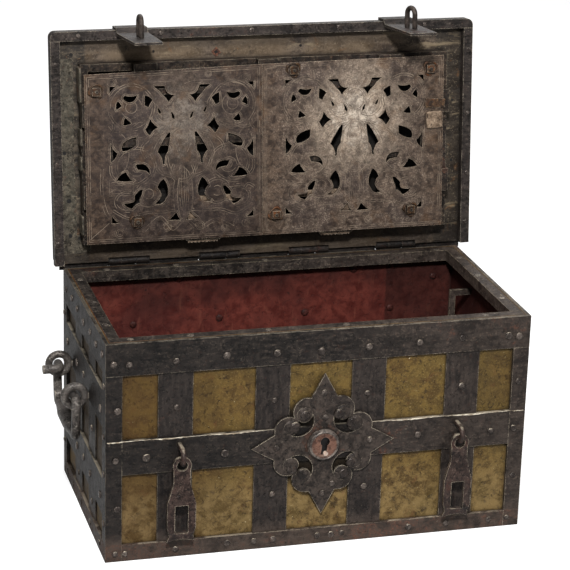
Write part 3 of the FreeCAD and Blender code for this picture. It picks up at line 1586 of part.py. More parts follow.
def cover_plate(side, word):
    """One engraved openwork cover, its ornament the same on both sides of its middle."""
    body = doc.addObject("PartDesign::Body", f"cover_body_{word}")
    seam_x = side * g.cover_seam / 2 - g.cover_seam_left
    front = chest_middle - cover_half_depth
    back = chest_middle + cover_half_depth
    if side < 0:
        low_x, high_x = cover_low_x, seam_x
        low_trim, high_trim = g.cover_trim_left, g.cover_trim_seam
    else:
        low_x, high_x = seam_x, cover_high_x
        low_trim, high_trim = g.cover_trim_seam, g.cover_trim_right
    corners = [
        vec(low_x, front + low_trim),
        vec(high_x, front + high_trim),
        vec(high_x, back),
        vec(low_x, back),
    ]
    edges = outline(corners)
    sketch = sketch_on(body, "XY_Plane", f"cover_outline_{word}", edges, cover_low)
    pad(body, f"cover_pad_{word}", sketch, g.cover_thick)
    middle_x = side * float(getattr(g, f"{word}_pattern_share") * cover_half_width)
    wide = float(g.pattern_width_share * cover_half_width)
    tall = float(g.pattern_height_share * cover_half_depth)
    centre_y = float(chest_middle)
    openings = []
    for shares in OPENING_SHARES:
        for hand in SIGNS:
            corners = []
            for out_share, front_share, bulge_share in shares:
                point = Vector(middle_x + hand * out_share * wide, centre_y - front_share * tall, 0)
                corners.append((point, -bulge_share * hand))
            openings += curved_edges(corners)
    for x, y in post_places():
        if (float(x) > 0) == (side > 0):
            openings += ring(vec(x, y), g.post_shank_radius + g.hole_fit)
    windows = sketch_on(body, "XY_Plane", f"cover_windows_{word}", openings, cover_low - g.cut_over)
    pocket(body, f"cover_pierced_{word}", windows, g.cover_thick + 2 * g.cut_over, reverse=True)
    keep(f"{word}_lock_cover", body, on_lid=True)


POST_SHARES = [
    (-0.951, -0.813),
    (-0.739, 0.849),
    (0.130, -0.987),
    (0.907, -0.941),
    (0.031, 0.853),
    (0.802, 0.879),
]


def post_places():
    """Where the posts stand, from shares of the covers' half width and of the room between the bars."""
    return [
        (across_share * cover_half_width, chest_middle + back_share * post_half_depth)
        for across_share, back_share in POST_SHARES
    ]


def cover_posts():
    """Shouldered posts from the lid's sheet that carry the covers, and their nuts."""
    posts = []
    nuts = []
    for number, (x, y) in enumerate(post_places()):
        foot = cover_low - g.nut_height - g.post_end
        pillar = rod(f"post_pillar_{number}", g.post_radius, lid_inner - cover_top, (x, y, cover_top))
        shank = rod(f"post_shank_{number}", g.post_shank_radius, cover_top - foot, (x, y, foot))
        posts.append(fused(f"post_{number}", [pillar, shank]))
        block = box(
            f"nut_block_{number}",
            (g.nut_size, g.nut_size, g.nut_height),
            (x - g.nut_size / 2, y - g.nut_size / 2, cover_low - g.nut_height),
        )
        bore = rod(
            f"nut_bore_{number}",
            g.post_shank_radius + g.bore_fit,
            g.nut_height,
            (x, y, cover_low - g.nut_height),
        )
        nuts.append(cut(f"nut_{number}", block, [bore]))
    keep("cover_posts", group("post_set", posts), on_lid=True)
    keep("cover_nuts", group("nut_set", nuts), on_lid=True)


# Key plate on the lid's outside
def key_plate():
    """The round plate in the middle of the lid with the true keyhole, and its cover."""
    disc = rod("key_disc", g.key_plate_radius, g.key_plate_thick, (0, chest_middle, lid_top))
    pivot_y = chest_middle - g.key_cover_pivot
    hole = rod(
        "key_disc_hole",
        g.spindle_radius + g.key_hole_gap,
        g.key_plate_thick + 2 * g.cut_over,
        (0, chest_middle, lid_top - g.cut_over),
    )
    rivet_hole = rod(
        "key_rivet_hole",
        g.cover_rivet_radius + g.bore_fit,
        g.key_plate_thick + 2 * g.cut_over,
        (0, pivot_y, lid_top - g.cut_over),
    )
    keep("key_plate", cut("key_plate_piece", disc, [hole, rivet_hole]), on_lid=True)

    cover_z = lid_top + g.key_plate_thick + g.running_gap
    body = doc.addObject("PartDesign::Body", "key_cover_body")
    small = g.cover_rivet_head + g.running_gap
    far_y = pivot_y - small + g.key_cover_length - g.key_cover_radius
    outline_edges = tongue_outline(pivot_y, small, far_y, g.key_cover_radius)
    sketch = sketch_on(body, "XY_Plane", "key_cover_sketch", outline_edges, cover_z)
    pad(body, "key_cover_pad", sketch, g.key_cover_thick)
    pierce = sketch_on(
        body, "XY_Plane", "key_cover_hole", ring(vec(0, pivot_y), g.cover_rivet_radius + g.bore_fit), cover_z - g.cut_over
    )
    pocket(body, "key_cover_pierced", pierce, g.key_cover_thick + 2 * g.cut_over, reverse=True)
    keep("keyhole_cover", body, on_lid=True)

    head_z = cover_z + g.key_cover_thick + g.running_gap
    shank = rod("key_rivet_shank", g.cover_rivet_radius, head_z - lid_top, (0, pivot_y, lid_top))
    head = rod("key_rivet_head", g.cover_rivet_head, g.key_plate_thick, (0, pivot_y, head_z))
    keep("cover_rivet", rounded_holder("cover_rivet_piece", fused("cover_rivet_solid", [shank, head])), on_lid=True)


def tongue_outline(pivot_y, small, far_y, big):
    """A leaf shape: a small round end at the pivot and a large one over the keyhole."""
    y0, r0, y1, r1 = float(pivot_y), float(small), float(far_y), float(big)
    lean = math.asin((r1 - r0) / (y1 - y0))
    side = math.cos(lean)
    down = math.sin(lean)
    a = Vector(r0 * side, y0 - r0 * down, 0)
    b = Vector(r1 * side, y1 - r1 * down, 0)
    return [
        Part.Arc(a, Vector(0, y0 - r0, 0), Vector(-a.x, a.y, 0)),
        Part.LineSegment(Vector(-a.x, a.y, 0), Vector(-b.x, b.y, 0)),
        Part.Arc(Vector(-b.x, b.y, 0), Vector(0, y1 + r1, 0), b),
        Part.LineSegment(b, a),
    ]


body_sheets()
body_bands()
corner_angles()
mouth_bars()
body_leaves()
hinge_pins()
inner_bracket()
escutcheon()
hasp_staples()
handle_rings()
for side, word in zip(SIGNS, ("left", "right")):
    hasp(side, word)
    handle(side, word)
lid_plate()
lid_bands()
lid_rear_lips()
lid_rims()
lid_leaves()
tabs_and_eyes()
lock_frame()
for bolt in BOLTS:
    bolt_set(*bolt)
bolt_guides()
spindle()
spindle_bush()
cover_plate(-1, "left")
cover_plate(1, "right")
cover_posts()
key_plate()

doc.recompute()
for thing in doc.Objects:
    if "Invalid" in thing.State or "Error" in thing.State:
        raise RuntimeError(f"{thing.Label} failed: {thing.State}")
os.makedirs("parts", exist_ok=True)
for label, thing in pieces:
    shape = thing.Shape
    if shape.isNull() or not shape.isValid():
        raise RuntimeError(f"{label} has no valid shape")
    shape.exportStep(os.path.join("parts", f"{label}.step"))
    print(label, len(shape.Solids), "solids, volume", round(shape.Volume))
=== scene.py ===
import bpy
import bmesh
import math
import random
from mathutils import Matrix, Vector


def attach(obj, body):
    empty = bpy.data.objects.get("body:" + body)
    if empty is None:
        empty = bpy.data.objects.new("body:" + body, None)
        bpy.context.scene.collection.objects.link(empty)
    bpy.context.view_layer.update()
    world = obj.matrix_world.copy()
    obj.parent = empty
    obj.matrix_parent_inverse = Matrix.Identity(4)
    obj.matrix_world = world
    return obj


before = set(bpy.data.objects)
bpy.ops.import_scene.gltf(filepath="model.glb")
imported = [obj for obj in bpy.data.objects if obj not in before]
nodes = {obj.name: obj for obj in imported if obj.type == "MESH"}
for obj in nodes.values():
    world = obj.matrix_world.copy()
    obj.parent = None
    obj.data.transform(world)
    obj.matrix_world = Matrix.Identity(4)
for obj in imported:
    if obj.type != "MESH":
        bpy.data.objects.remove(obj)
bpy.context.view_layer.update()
draw = random.Random(41).uniform

# what the added pieces sit on, in millimetres with the lid shut
PIN_Y, PIN_Z = 178, 356
HINGE_XS = (-224.4, -74.8, 74.8, 224.4)
WALL_X, END_STRAP_X = 330, 327.3
BAND_Y, STRAP_Y, PLATE_Y, LEAF_Y = 175, 172.3, 178, 177.5
INNER_X, INNER_Y = 322, 167
MOUTH_Z = 350
FOOT_Z = 13
RIM_Z, LID_STRAP_Z, LID_BAND_Z, LID_LEAF_Z, LID_TAB_Z = 335, 355, 357, 359.5, 361
TAB_X, TAB_Y = 218, -170
NUT_FACE, COVER_FACE = 313.95, 313.88
COVER_BACK, COVER_FRONT = 140, -140
NUTS = [(-279.6, -102.4), (-217.3, 107), (38.2, -124.4), (266.7, -118.6), (9.1, 107.5), (235.8, 110.8)]
# the flat chips inside the lid, one behind the other
STRIP_Z, NUT_Z, TORN_Z, SHANK_Z, HOLES_Z = 350.29, 350.285, 350.28, 350.236, 350.226
CHIP_THICK = 0.045
# in metres: the boss's middle on the front, and the covers' middle line with the lid open
BOSS_X, BOSS_Z = 0.0045, 0.1665
COVERS_Z = 0.585

FRONT, BACK, UP = (0, -1, 0), (0, 1, 0), (0, 0, 1)
HINGE = Vector((0, PIN_Y / 1000, PIN_Z / 1000))
LID_TURN = Matrix.Rotation(math.radians(-96), 4, "X")
LID_OUT = (LID_TURN @ Vector(UP)).normalized()
WHITE = (1, 1, 1, 1)


def on_lid(x, y, z):
    """Millimetres with the lid shut to metres with the lid open."""
    return HINGE + LID_TURN @ (Vector((x, y, z)) / 1000 - HINGE)


def linear(tone):
    """An sRGB tone, 0 to 255, as the linear colour that shaders take."""
    shares = [c / 255 for c in tone]
    return (*(c / 12.92 if c <= 0.04045 else ((c + 0.055) / 1.055) ** 2.4 for c in shares), 1)


# ---------------------------------------------------------------- materials
class Tree:
    """The nodes of a material or a world."""

    def __init__(self, owner, out_kind):
        owner.use_nodes = True
        self.tree = owner.node_tree
        self.tree.nodes.clear()
        self.out = self.add(out_kind)

    def add(self, kind, sockets=None, **props):
        """A node; sockets gives a number, a colour or another node's output to each input."""
        node = self.tree.nodes.new(kind)
        for key, value in props.items():
            setattr(node, key, value)
        for key, value in (sockets or {}).items():
            self.feed(node.inputs[key], value)
        return node

    def link(self, a, b):
        self.tree.links.new(a, b)

    def feed(self, socket, value):
        if hasattr(value, "is_output"):
            self.link(value, socket)
        else:
            socket.default_value = value


class Surface(Tree):
    """One node material. Its colour is laid on coat by coat."""

    def __init__(self, name):
        self.mat = bpy.data.materials.new(name)
        super().__init__(self.mat, "ShaderNodeOutputMaterial")
        self.shader = self.add("ShaderNodeBsdfPrincipled")
        self.link(self.shader.outputs[0], self.out.inputs["Surface"])
        own = self.add("ShaderNodeTexCoord")
        self.where = own.outputs["Object"]
        self.facing = own.outputs["Normal"]
        self.normal = self.add("ShaderNodeNewGeometry").outputs["Normal"]
        self.x, self.y, self.z = self.split(self.where)
        self.color = None

    def stretched(self, sx, sy, sz, turn=(0, 0, 0)):
        sockets = {"Vector": self.where, "Scale": (sx, sy, sz), "Rotation": turn}
        return self.add("ShaderNodeMapping", sockets).outputs[0]

    def noise(self, scale, detail, rough, warp, seed, where=None):
        sockets = {"Vector": where or self.where, "W": seed, "Scale": scale, "Detail": detail, "Roughness": rough,
                   "Distortion": warp}
        return self.add("ShaderNodeTexNoise", sockets, noise_dimensions="4D").outputs["Fac"]

    def remap(self, value, low, high, first=0, last=1):
        """A smooth step from first, below low, to last, above high."""
        sockets = {"Value": value, "From Min": low, "From Max": high, "To Min": first, "To Max": last}
        return self.add("ShaderNodeMapRange", sockets, interpolation_type="SMOOTHSTEP").outputs["Result"]

    def fall(self, value, low, high):
        return self.remap(value, low, high, 1, 0)

    def math(self, kind, a, b=0):
        return self.add("ShaderNodeMath", {0: a, 1: b}, operation=kind).outputs[0]

    def times(self, a, b):
        return self.math("MULTIPLY", a, b)

    def plus(self, a, b):
        return self.math("ADD", a, b)

    def minus(self, a, b):
        return self.math("SUBTRACT", a, b)

    def most(self, a, b):
        return self.math("MAXIMUM", a, b)

    def size(self, a):
        return self.math("ABSOLUTE", a)

    def length(self, a, b):
        return self.math("SQRT", self.plus(self.times(a, a), self.times(b, b)))

    def total(self, *terms):
        """The sum of values, each times its weight."""
        (value, weight), *others = terms
        result = self.times(value, weight)
        for value, weight in others:
            result = self.plus(result, self.times(value, weight))
        return result

    def stirred(self, value, noise, by):
        """A value pushed up and down by a noise."""
        return self.plus(value, self.times(self.minus(noise, 0.5), by))

    def split(self, vector):
        return tuple(self.add("ShaderNodeSeparateXYZ", {0: vector}).outputs)

    def blend(self, mask, a, b):
        return self.add("ShaderNodeMix", {0: mask, 6: a, 7: b}, data_type="RGBA").outputs[2]

    def between(self, mask, dark, light):
        return self.blend(mask, linear(dark), linear(light))

    def over(self, base, mask, tone, share=1):
        """A tone, or another node's colour, over a base."""
        if share != 1:
            mask = self.times(mask, share)
        return self.blend(mask, base, tone if hasattr(tone, "is_output") else linear(tone))

    def coat(self, mask, tone, share=1):
        self.color = self.over(self.color, mask, tone, share)

    def mottle(self, grain, low, high, tone, share=1):
        """A coat in patches; grain is what noise takes."""
        self.coat(self.remap(self.noise(*grain), low, high), tone, share)

    def edges(self, radius):
        """Near a corner of this piece 1, on its flats 0."""
        bevel = self.add("ShaderNodeBevel", {"Radius": radius}, samples=4)
        dot = self.add("ShaderNodeVectorMath", {0: bevel.outputs[0], 1: self.normal}, operation="DOT_PRODUCT")
        return self.remap(self.minus(1, dot.outputs["Value"]), 0.01, 0.16)

    def crease(self, reach=0.006):
        """1 deep in corners between pieces, 0 on open faces, from ambient occlusion: the mask of painted shade in
        creases.
        """
        node = self.add("ShaderNodeAmbientOcclusion", {"Distance": reach}, samples=6)
        return self.fall(node.outputs["AO"], 0.35, 0.9)

    def window(self, low, high, soft):
        """1 inside a box of object coordinates, 0 outside; None leaves a side open."""
        mask = None
        for value, a, b in zip((self.x, self.y, self.z), low, high):
            for step, edge in ((self.remap, a), (self.fall, b)):
                if edge is not None:
                    part = step(value, edge - soft, edge + soft)
                    mask = part if mask is None else self.times(mask, part)
        return mask

    def upward(self):
        """1 on faces that look up in the row position, whatever the pose."""
        return self.remap(self.split(self.facing)[2], 0.55, 0.9)

    def finish(self, rough, height, depth, metallic=0, specular=0.5, soft=0.0007):
        """Sets the shader; height makes the relief and soft rounds the edges."""
        relief = {"Height": height, "Distance": depth, "Strength": 1}
        if soft:
            relief["Normal"] = self.add("ShaderNodeBevel", {"Radius": soft}, samples=4).outputs[0]
        bump = self.add("ShaderNodeBump", relief)
        for key, value in (("Base Color", self.color), ("Roughness", rough), ("Metallic", metallic),
                           ("Specular IOR Level", specular), ("Normal", bump.outputs[0])):
            self.feed(self.shader.inputs[key], value)
        return self.mat


def iron(name, dark, mid, light, rust=0.25, rust_color=(104, 58, 40), wear_and_highlight_tone=(214, 200, 176), wear=0.7, edge=0.0013,
         rough=(0.36, 0.6), metallic=0.15, seed=0, sheen=0.35, sheen_color=(66, 58, 54), pits=1, top_highlight=0,
         grime_and_crease_shade=0.75, where_rusty=None, streak=(1, 1, 1), shade_left=0, grain=0.45, paler_right_and_foot=0,
         shade_behind_plate=False):
    """Old forged iron: patina in several tones, pitting, rust and worn corners, with a painted highlight on faces
    that look up, painted shade in creases and, where asked, painted shade behind the escutcheon.
    """
    s = Surface(name)
    big = s.noise(8, 3, 0.55, 0.5, seed)
    middle = s.noise(42, 6, 0.68, 0.7, seed + 3)
    fine = s.noise(300, 6, 0.75, 0.3, seed + 5)
    spots = s.noise(140, 4, 0.65, 1, seed + 7)
    drawn = s.noise(110, 5, 0.7, 0.6, seed + 8, s.stretched(*streak))
    patchy = s.noise(88, 6, 0.72, 0.5, seed + 16)
    tones = s.total((drawn, 0.3), (patchy, 0.35), (middle, 0.35))
    s.color = s.between(s.remap(tones, 0.44, 0.56), dark, mid)
    s.coat(s.remap(big, 0.42, 0.62), sheen_color, sheen)
    s.coat(s.times(s.remap(fine, 0.5, 0.64), s.remap(drawn, 0.46, 0.6)), light, grain)
    s.coat(s.fall(s.noise(190, 5, 0.7, 0.9, seed + 14), 0.4, 0.47), (9, 7, 7), 0.8 * grain)

    want = s.total((big, 0.5), (middle, 0.5))
    if where_rusty:
        want = s.plus(want, where_rusty(s))
    patch = s.times(s.remap(want, 0.6 - 0.12 * rust, 0.68 - 0.1 * rust), s.remap(fine, 0.4, 0.58))
    rusty = s.most(patch, s.times(s.remap(spots, 0.58, 0.66), min(1, 0.25 + rust)))
    red = s.between(s.remap(spots, 0.42, 0.6), rust_color, [c * 0.58 for c in rust_color])
    red = s.over(red, s.remap(fine, 0.56, 0.66), [min(255, c * 1.5) for c in rust_color], 0.6)
    s.coat(rusty, red, min(1, 0.5 + rust))

    scuffed = s.remap(s.total((fine, 0.45), (middle, 0.55)), 0.42, 0.56)
    bare_and_highlit = s.times(s.times(s.edges(edge), scuffed), wear)
    # painted highlight: faces that look up take the pale wear tone, weaker on the top bands; it joins the real wear
    # of corners and scratches
    if top_highlight:
        top = s.times(s.upward(), s.remap(s.noise(26, 4, 0.6, 0.5, seed + 9), 0.42, 0.56))
        top = s.times(top, s.remap(s.z, 0.3, 0.345, 1, 0.25))
        bare_and_highlit = s.most(bare_and_highlit, s.times(top, top_highlight))
    scratch = s.noise(60, 4, 0.6, 2.5, seed + 12, s.stretched(1, 1, 6, (0.2, 0.5, 0.1)))
    s.coat(s.most(bare_and_highlit, s.times(s.remap(scratch, 0.68, 0.72), 0.5 * wear)), wear_and_highlight_tone)

    pit = s.remap(spots, 0.34, 0.44)
    s.coat(s.minus(1, pit), (12, 10, 9), 0.6 * pits)
    # painted shade: darker deep in corners and creases, found by ambient occlusion
    s.coat(s.crease(), (14, 11, 9), grime_and_crease_shade)
    if shade_left:
        s.coat(s.remap(s.x, -0.3, 0.1, shade_left, 0), (9, 8, 8))
    # painted shade on the band and strap behind the escutcheon's openings
    if shade_behind_plate:
        s.coat(s.window((-0.05, None, 0.118), (0.058, -0.17, 0.215), 0.008), (12, 9, 8), 0.88)
    # paler towards the right and along the foot
    if paler_right_and_foot:
        right_and_foot = s.most(s.remap(s.x, -0.05, 0.33), s.remap(s.z, 0.028, 0.05, 2.4, 0))
        s.coat(s.times(right_and_foot, s.remap(middle, 0.36, 0.56, 0.5, 1)), (122, 104, 92), paler_right_and_foot)
    height = s.plus(s.total((middle, 0.9), (fine, 0.5)), s.total((pit, 0.5 * pits), (drawn, 0.4)))
    shine = s.plus(s.remap(s.total((middle, 0.5), (fine, 0.5)), 0.38, 0.62, *rough), s.times(rusty, 0.2))
    return s.finish(shine, s.plus(height, s.times(big, 3)), 0.0015, metallic, 0.24)


def rust_of_bands(s):
    """More rust on the right of the top band and along the bottom band."""
    right = s.times(s.remap(s.x, -0.02, 0.3), s.remap(s.z, 0.28, 0.31))
    return s.total((right, 0.07), (s.fall(s.z, 0.024, 0.032), 0.13))


def rust_round_boss(s):
    return s.remap(s.length(s.minus(s.x, BOSS_X), s.minus(s.z, BOSS_Z)), 0.022, 0.06, 0.14, 0)


band = iron("band_iron", (20, 17, 16), (50, 44, 40), (132, 116, 102), rust=0.2, wear=0.8, top_highlight=0.7, seed=1,
            where_rusty=rust_of_bands, streak=(0.35, 1, 1.6), shade_left=0.45, metallic=0.08, rough=(0.38, 0.58),
            paler_right_and_foot=0.12, shade_behind_plate=True)
strap = iron("strap_iron", (26, 22, 21), (54, 47, 43), (110, 98, 88), rust=0.14, wear=0.75, top_highlight=0.3, seed=6,
             streak=(1.8, 1, 0.3), shade_left=0.25, metallic=0.08, rough=(0.38, 0.58), grain=0.35, paler_right_and_foot=0.08,
             shade_behind_plate=True)
# a darker copy of the band iron: painted shade for the dark joint between lid and body
hinge_iron = iron("hinge_iron", (18, 15, 14), (36, 31, 28), (74, 64, 56), rust=0.3, wear=0.16, seed=9)
fitting = iron("dark_fittings", (40, 35, 32), (74, 65, 59), (130, 113, 100), rust=0.26, rust_color=(100, 64, 48),
               wear=1, seed=11, metallic=0.25, rough=(0.28, 0.46), edge=0.0018, grain=0.25,
               where_rusty=rust_round_boss)
hasp_iron = iron("hasp_iron", (34, 25, 23), (74, 58, 52), (168, 146, 132), rust=0.35, rust_color=(96, 58, 46),
                 wear=1, seed=12, metallic=0.25, rough=(0.26, 0.42), edge=0.0016, grain=0.4, top_highlight=0.5)
curl = iron("volute_iron", (38, 34, 32), (70, 62, 57), (140, 124, 112), rust=0.2, wear=1, seed=19, metallic=0.35,
            rough=(0.2, 0.34), edge=0.0018, grain=0.25, top_highlight=0.45, grime_and_crease_shade=0.5)
# the handles' light grey tones are partly painted highlight
grip = iron("handle_iron", (44, 40, 38), (96, 89, 84), (196, 188, 176), rust=0.16, wear=0.7, seed=16, metallic=0.35,
            rough=(0.26, 0.44), pits=0.6, sheen_color=(140, 134, 128), grime_and_crease_shade=0.3, edge=0.003, grain=0.7)
mouth = iron("mouth_iron", (30, 26, 24), (72, 64, 58), (146, 132, 116), rust=0.16, wear=0.85, seed=21,
             wear_and_highlight_tone=(190, 176, 146), rough=(0.4, 0.6), streak=(0.4, 1.4, 1), grain=0.8, shade_left=0.3, paler_right_and_foot=0.14)
lock = iron("lock_iron", (26, 21, 18), (56, 46, 38), (130, 112, 92), rust=0.3, wear=0.5, seed=26, grain=0.7)
bolt_iron = iron("bolt_head_iron", (104, 86, 70), (158, 136, 114), (214, 194, 168), rust=0.2, wear=0.9, seed=29)
rim_iron = iron("rim_iron", (28, 24, 22), (58, 51, 47), (122, 110, 100), rust=0.18, wear=0.75, seed=31,
                streak=(0.4, 1, 1.6))


def panel():
    """The sheets: mottled ochre paint outside, maroon paint inside."""
    s = Surface("panel_paint")
    big = s.noise(9, 4, 0.55, 0.5, 2)
    middle = s.noise(48, 6, 0.68, 0.4, 4)
    fine = s.noise(360, 5, 0.75, 0.2, 6)
    s.color = s.between(s.remap(middle, 0.4, 0.6), (76, 56, 24), (114, 90, 44))
    s.coat(s.remap(big, 0.42, 0.62), (92, 76, 36), 0.5)
    s.coat(s.remap(fine, 0.52, 0.66), (148, 126, 78), 0.6)
    grime_and_crease_shade = s.remap(s.noise(110, 6, 0.75, 1.1, 8), 0.55, 0.64)
    s.coat(grime_and_crease_shade, (46, 34, 20), 0.75)
    s.mottle((280, 4, 0.65, 0.8, 9), 0.6, 0.68, (30, 22, 16), 0.8)
    s.mottle((30, 4, 0.6, 1, 13), 0.58, 0.72, (98, 60, 32), 0.6)
    s.mottle((70, 5, 0.6, 3.2, 15, s.stretched(1, 1, 5, (0.3, 0.8, 0.2))), 0.66, 0.69, (190, 174, 130), 0.65)
    s.mottle((200, 3, 0.6, 0.4, 17), 0.7, 0.73, (215, 200, 160))
    s.coat(s.remap(s.x, -0.32, -0.02, 0.66, 0), (66, 42, 6))
    s.coat(s.times(s.remap(s.x, 0.2, 0.26), s.remap(s.z, 0.19, 0.22)), (60, 42, 20), 0.3)
    s.coat(s.remap(s.size(s.x), 0.3242, 0.3246), (34, 28, 20), 0.6)
    s.coat(s.times(s.remap(s.z, 0.06, 0.15, 0.3, 0), s.remap(middle, 0.36, 0.62)), (168, 142, 100))
    # painted shade on the front sheet behind the escutcheon's openings
    s.coat(s.window((-0.062, None, 0.105), (0.071, -0.16, 0.228), 0.012), (16, 12, 9), 0.94)
    ochre = s.color

    s.color = s.between(s.remap(middle, 0.38, 0.62), (80, 30, 24), (110, 50, 40))
    s.coat(s.remap(big, 0.42, 0.62), (60, 24, 22), 0.6)
    s.mottle((26, 4, 0.6, 1.5, 18, s.stretched(3, 3, 0.6)), 0.56, 0.7, (128, 74, 58), 0.35)
    s.mottle((95, 5, 0.7, 1, 22), 0.64, 0.69, (36, 20, 18), 0.8)
    # painted shadow: the maroon inside is darker near its top, under the mouth bars
    s.coat(s.remap(s.stirred(s.z, big, 0.12), 0.255, 0.335), (36, 16, 13), 0.66)
    s.coat(s.remap(s.x, 0.206, 0.21), (30, 12, 9), 0.6)
    between_walls = s.times(s.fall(s.size(s.x), 0.3225, 0.3235), s.fall(s.size(s.y), 0.1678, 0.1686))
    s.color = s.blend(s.times(between_walls, s.remap(s.z, 0.0016, 0.0022)), ochre, s.color)
    # painted shade: darker deep in corners and creases, found by ambient occlusion
    s.coat(s.crease(0.009), (18, 12, 8), 0.8)
    height = s.total((middle, 0.8), (fine, 0.5), (grime_and_crease_shade, -0.4))
    return s.finish(s.remap(middle, 0.3, 0.7, 0.5, 0.75), height, 0.0012, specular=0.28)


def lid_inside():
    """The lid's sheet: brown and grey, darker at the sides, with painted shade, near black, behind the covers, a
    painted shadow under the front rim and painted shade in creases.
    """
    s = Surface("lid_sheet_iron")
    big = s.noise(11, 4, 0.6, 0.5, 33)
    middle = s.noise(46, 6, 0.68, 0.5, 34, s.stretched(0.6, 1, 1.5))
    fine = s.noise(300, 6, 0.75, 0.3, 35)
    s.color = s.between(s.remap(s.total((middle, 0.7), (fine, 0.3)), 0.42, 0.58), (58, 48, 41), (112, 98, 84))
    s.coat(s.remap(big, 0.4, 0.6), (112, 94, 72), 0.55)
    side = s.between(s.remap(middle, 0.42, 0.58), (44, 38, 32), (88, 78, 66))
    s.coat(s.remap(s.size(s.x), 0.286, 0.292), side)
    s.coat(s.remap(s.x, 0.288, 0.318), (34, 26, 19), 0.7)
    s.mottle((60, 5, 0.68, 0.8, 38), 0.56, 0.66, (34, 27, 22), 0.65)
    s.mottle((30, 5, 0.65, 0.8, 36, s.stretched(0.5, 1, 2.2)), 0.56, 0.68, (160, 142, 114), 0.55)
    s.mottle((34, 4, 0.6, 0.9, 37), 0.6, 0.7, (120, 84, 50), 0.5)
    s.coat(s.remap(fine, 0.55, 0.64), (150, 134, 112), 0.5)
    # painted shadow of the front rim on the lid's sheet, near its top with the lid open
    s.coat(s.remap(s.z, 0.688, 0.7), (30, 26, 24), 0.45)
    # painted shade: near black behind the covers, seen through their openings
    s.coat(s.window((-0.29, None, 0.405), (0.286, None, 0.672), 0.006), (8, 6, 5), 0.96)
    s.coat(s.fall(s.z, 0.38, 0.405), (26, 20, 16), 0.6)
    # painted shade: darker deep in corners and creases, found by ambient occlusion
    s.coat(s.crease(0.01), (12, 9, 7), 0.8)
    height = s.total((middle, 0.9), (fine, 0.5), (big, 2.5))
    return s.finish(s.remap(middle, 0.3, 0.7, 0.42, 0.66), height, 0.0016, 0.1, 0.3)


def engraved(name, tone, middle_tone, light_tone, rub_and_highlight, centre_x, seed):
    """A lock cover: brown-grey patina, browner at its ends, paler round centre_x, partly rubbed metal and partly a
    painted highlight with a near-white core.
    """
    s = Surface(name)
    big = s.noise(13, 4, 0.6, 0.6, seed)
    middle = s.noise(70, 6, 0.7, 0.6, seed + 1)
    fine = s.noise(420, 6, 0.78, 0.4, seed + 2)
    drawn = s.noise(150, 5, 0.7, 0.8, seed + 3, s.stretched(0.7, 1, 1.25))
    tones = s.total((middle, 0.5), (drawn, 0.5))
    s.color = s.between(s.remap(tones, 0.4, 0.6), tone, middle_tone)
    s.coat(s.remap(big, 0.44, 0.6), (66, 56, 54), 0.4)
    s.coat(s.times(s.remap(fine, 0.48, 0.66), s.remap(middle, 0.4, 0.6)), light_tone, 0.6)

    across = s.minus(s.x, centre_x)
    dx = s.times(across, 1 / 0.075)
    dz = s.times(s.minus(s.z, COVERS_Z), 1 / 0.085)
    away = s.plus(s.times(dx, dx), s.times(dz, dz))
    # paler round centre_x: partly rubbed metal, partly painted highlight
    rub = s.times(s.fall(s.stirred(away, big, 3), 0, 1.6), rub_and_highlight)
    grainy = s.remap(s.total((fine, 0.4), (s.noise(95, 5, 0.7, 0.6, seed + 8), 0.6)), 0.42, 0.62, 0.2, 0.9)
    s.coat(s.times(rub, grainy), light_tone)
    # painted highlight: a near-white core in the middle of the rubbed patch
    highlight_core = s.fall(s.stirred(away, middle, 2.4), 0, 0.42)
    s.coat(s.times(highlight_core, grainy), (240, 226, 208), 0.75 * rub_and_highlight)

    brown = s.between(s.remap(tones, 0.42, 0.58), (54, 41, 32), (94, 74, 57))
    s.coat(s.remap(s.size(across), 0.1, 0.145), brown, 0.55)
    s.mottle((24, 4, 0.6, 0.7, seed + 9), 0.54, 0.68, (108, 78, 50), 0.35)
    s.mottle((32, 5, 0.65, 0.8, seed + 6), 0.55, 0.66, (tone[0] * 0.62, tone[1] * 0.55, tone[2] * 0.5), 0.45)
    s.coat(s.fall(fine, 0.36, 0.42), (20, 15, 12), 0.4)
    s.coat(s.times(s.edges(0.0012), s.remap(fine, 0.4, 0.56)), (196, 178, 154), 0.85)
    height = s.plus(s.total((middle, 0.6), (fine, 0.35)), s.total((drawn, 0.5), (big, 3)))
    return s.finish(s.remap(middle, 0.3, 0.7, 0.3, 0.52), height, 0.0009, 0.25, soft=0.0004)


left_cover = engraved("left_cover_iron", (40, 31, 27), (72, 58, 50), (136, 119, 102), 0.3, -0.143, 50)
right_cover = engraved("right_cover_iron", (58, 47, 40), (104, 87, 74), (206, 186, 164), 0.9, 0.141, 60)


def plain(name, dark, light, rough, metallic, seed, scale=160, depth=0.0004):
    """Two tones of one noise, for the smallest pieces."""
    s = Surface(name)
    n = s.noise(scale, 5, 0.65, 0.6, seed)
    s.color = s.between(s.remap(n, 0.4, 0.6), dark, light)
    return s.finish(s.remap(n, 0.3, 0.7, rough - 0.08, rough + 0.1), n, depth, metallic, soft=0)


# the engraved burrs' pale tone is a painted glint
burr_glint_line = plain("line_burr_glint", (80, 68, 58), (142, 126, 109), 0.45, 0.25, 72, scale=60)
# the bead's cream tone is partly worn bare iron and partly painted highlight
cream = plain("worn_and_highlit_edge", (150, 134, 112), (236, 226, 206), 0.45, 0.1, 76, scale=90, depth=0.0008)
nut_rust = plain("nut_rust", (56, 30, 20), (124, 78, 54), 0.55, 0.15, 77, scale=240)
hole_shade_paint = plain("painted_hole_shade", (8, 6, 6), (20, 16, 14), 0.8, 0, 74)
nut_iron = iron("nut_iron", (46, 33, 24), (84, 60, 40), (170, 132, 90), rust=0.5, rust_color=(128, 76, 40), wear=0.8,
                seed=80, rough=(0.35, 0.55))
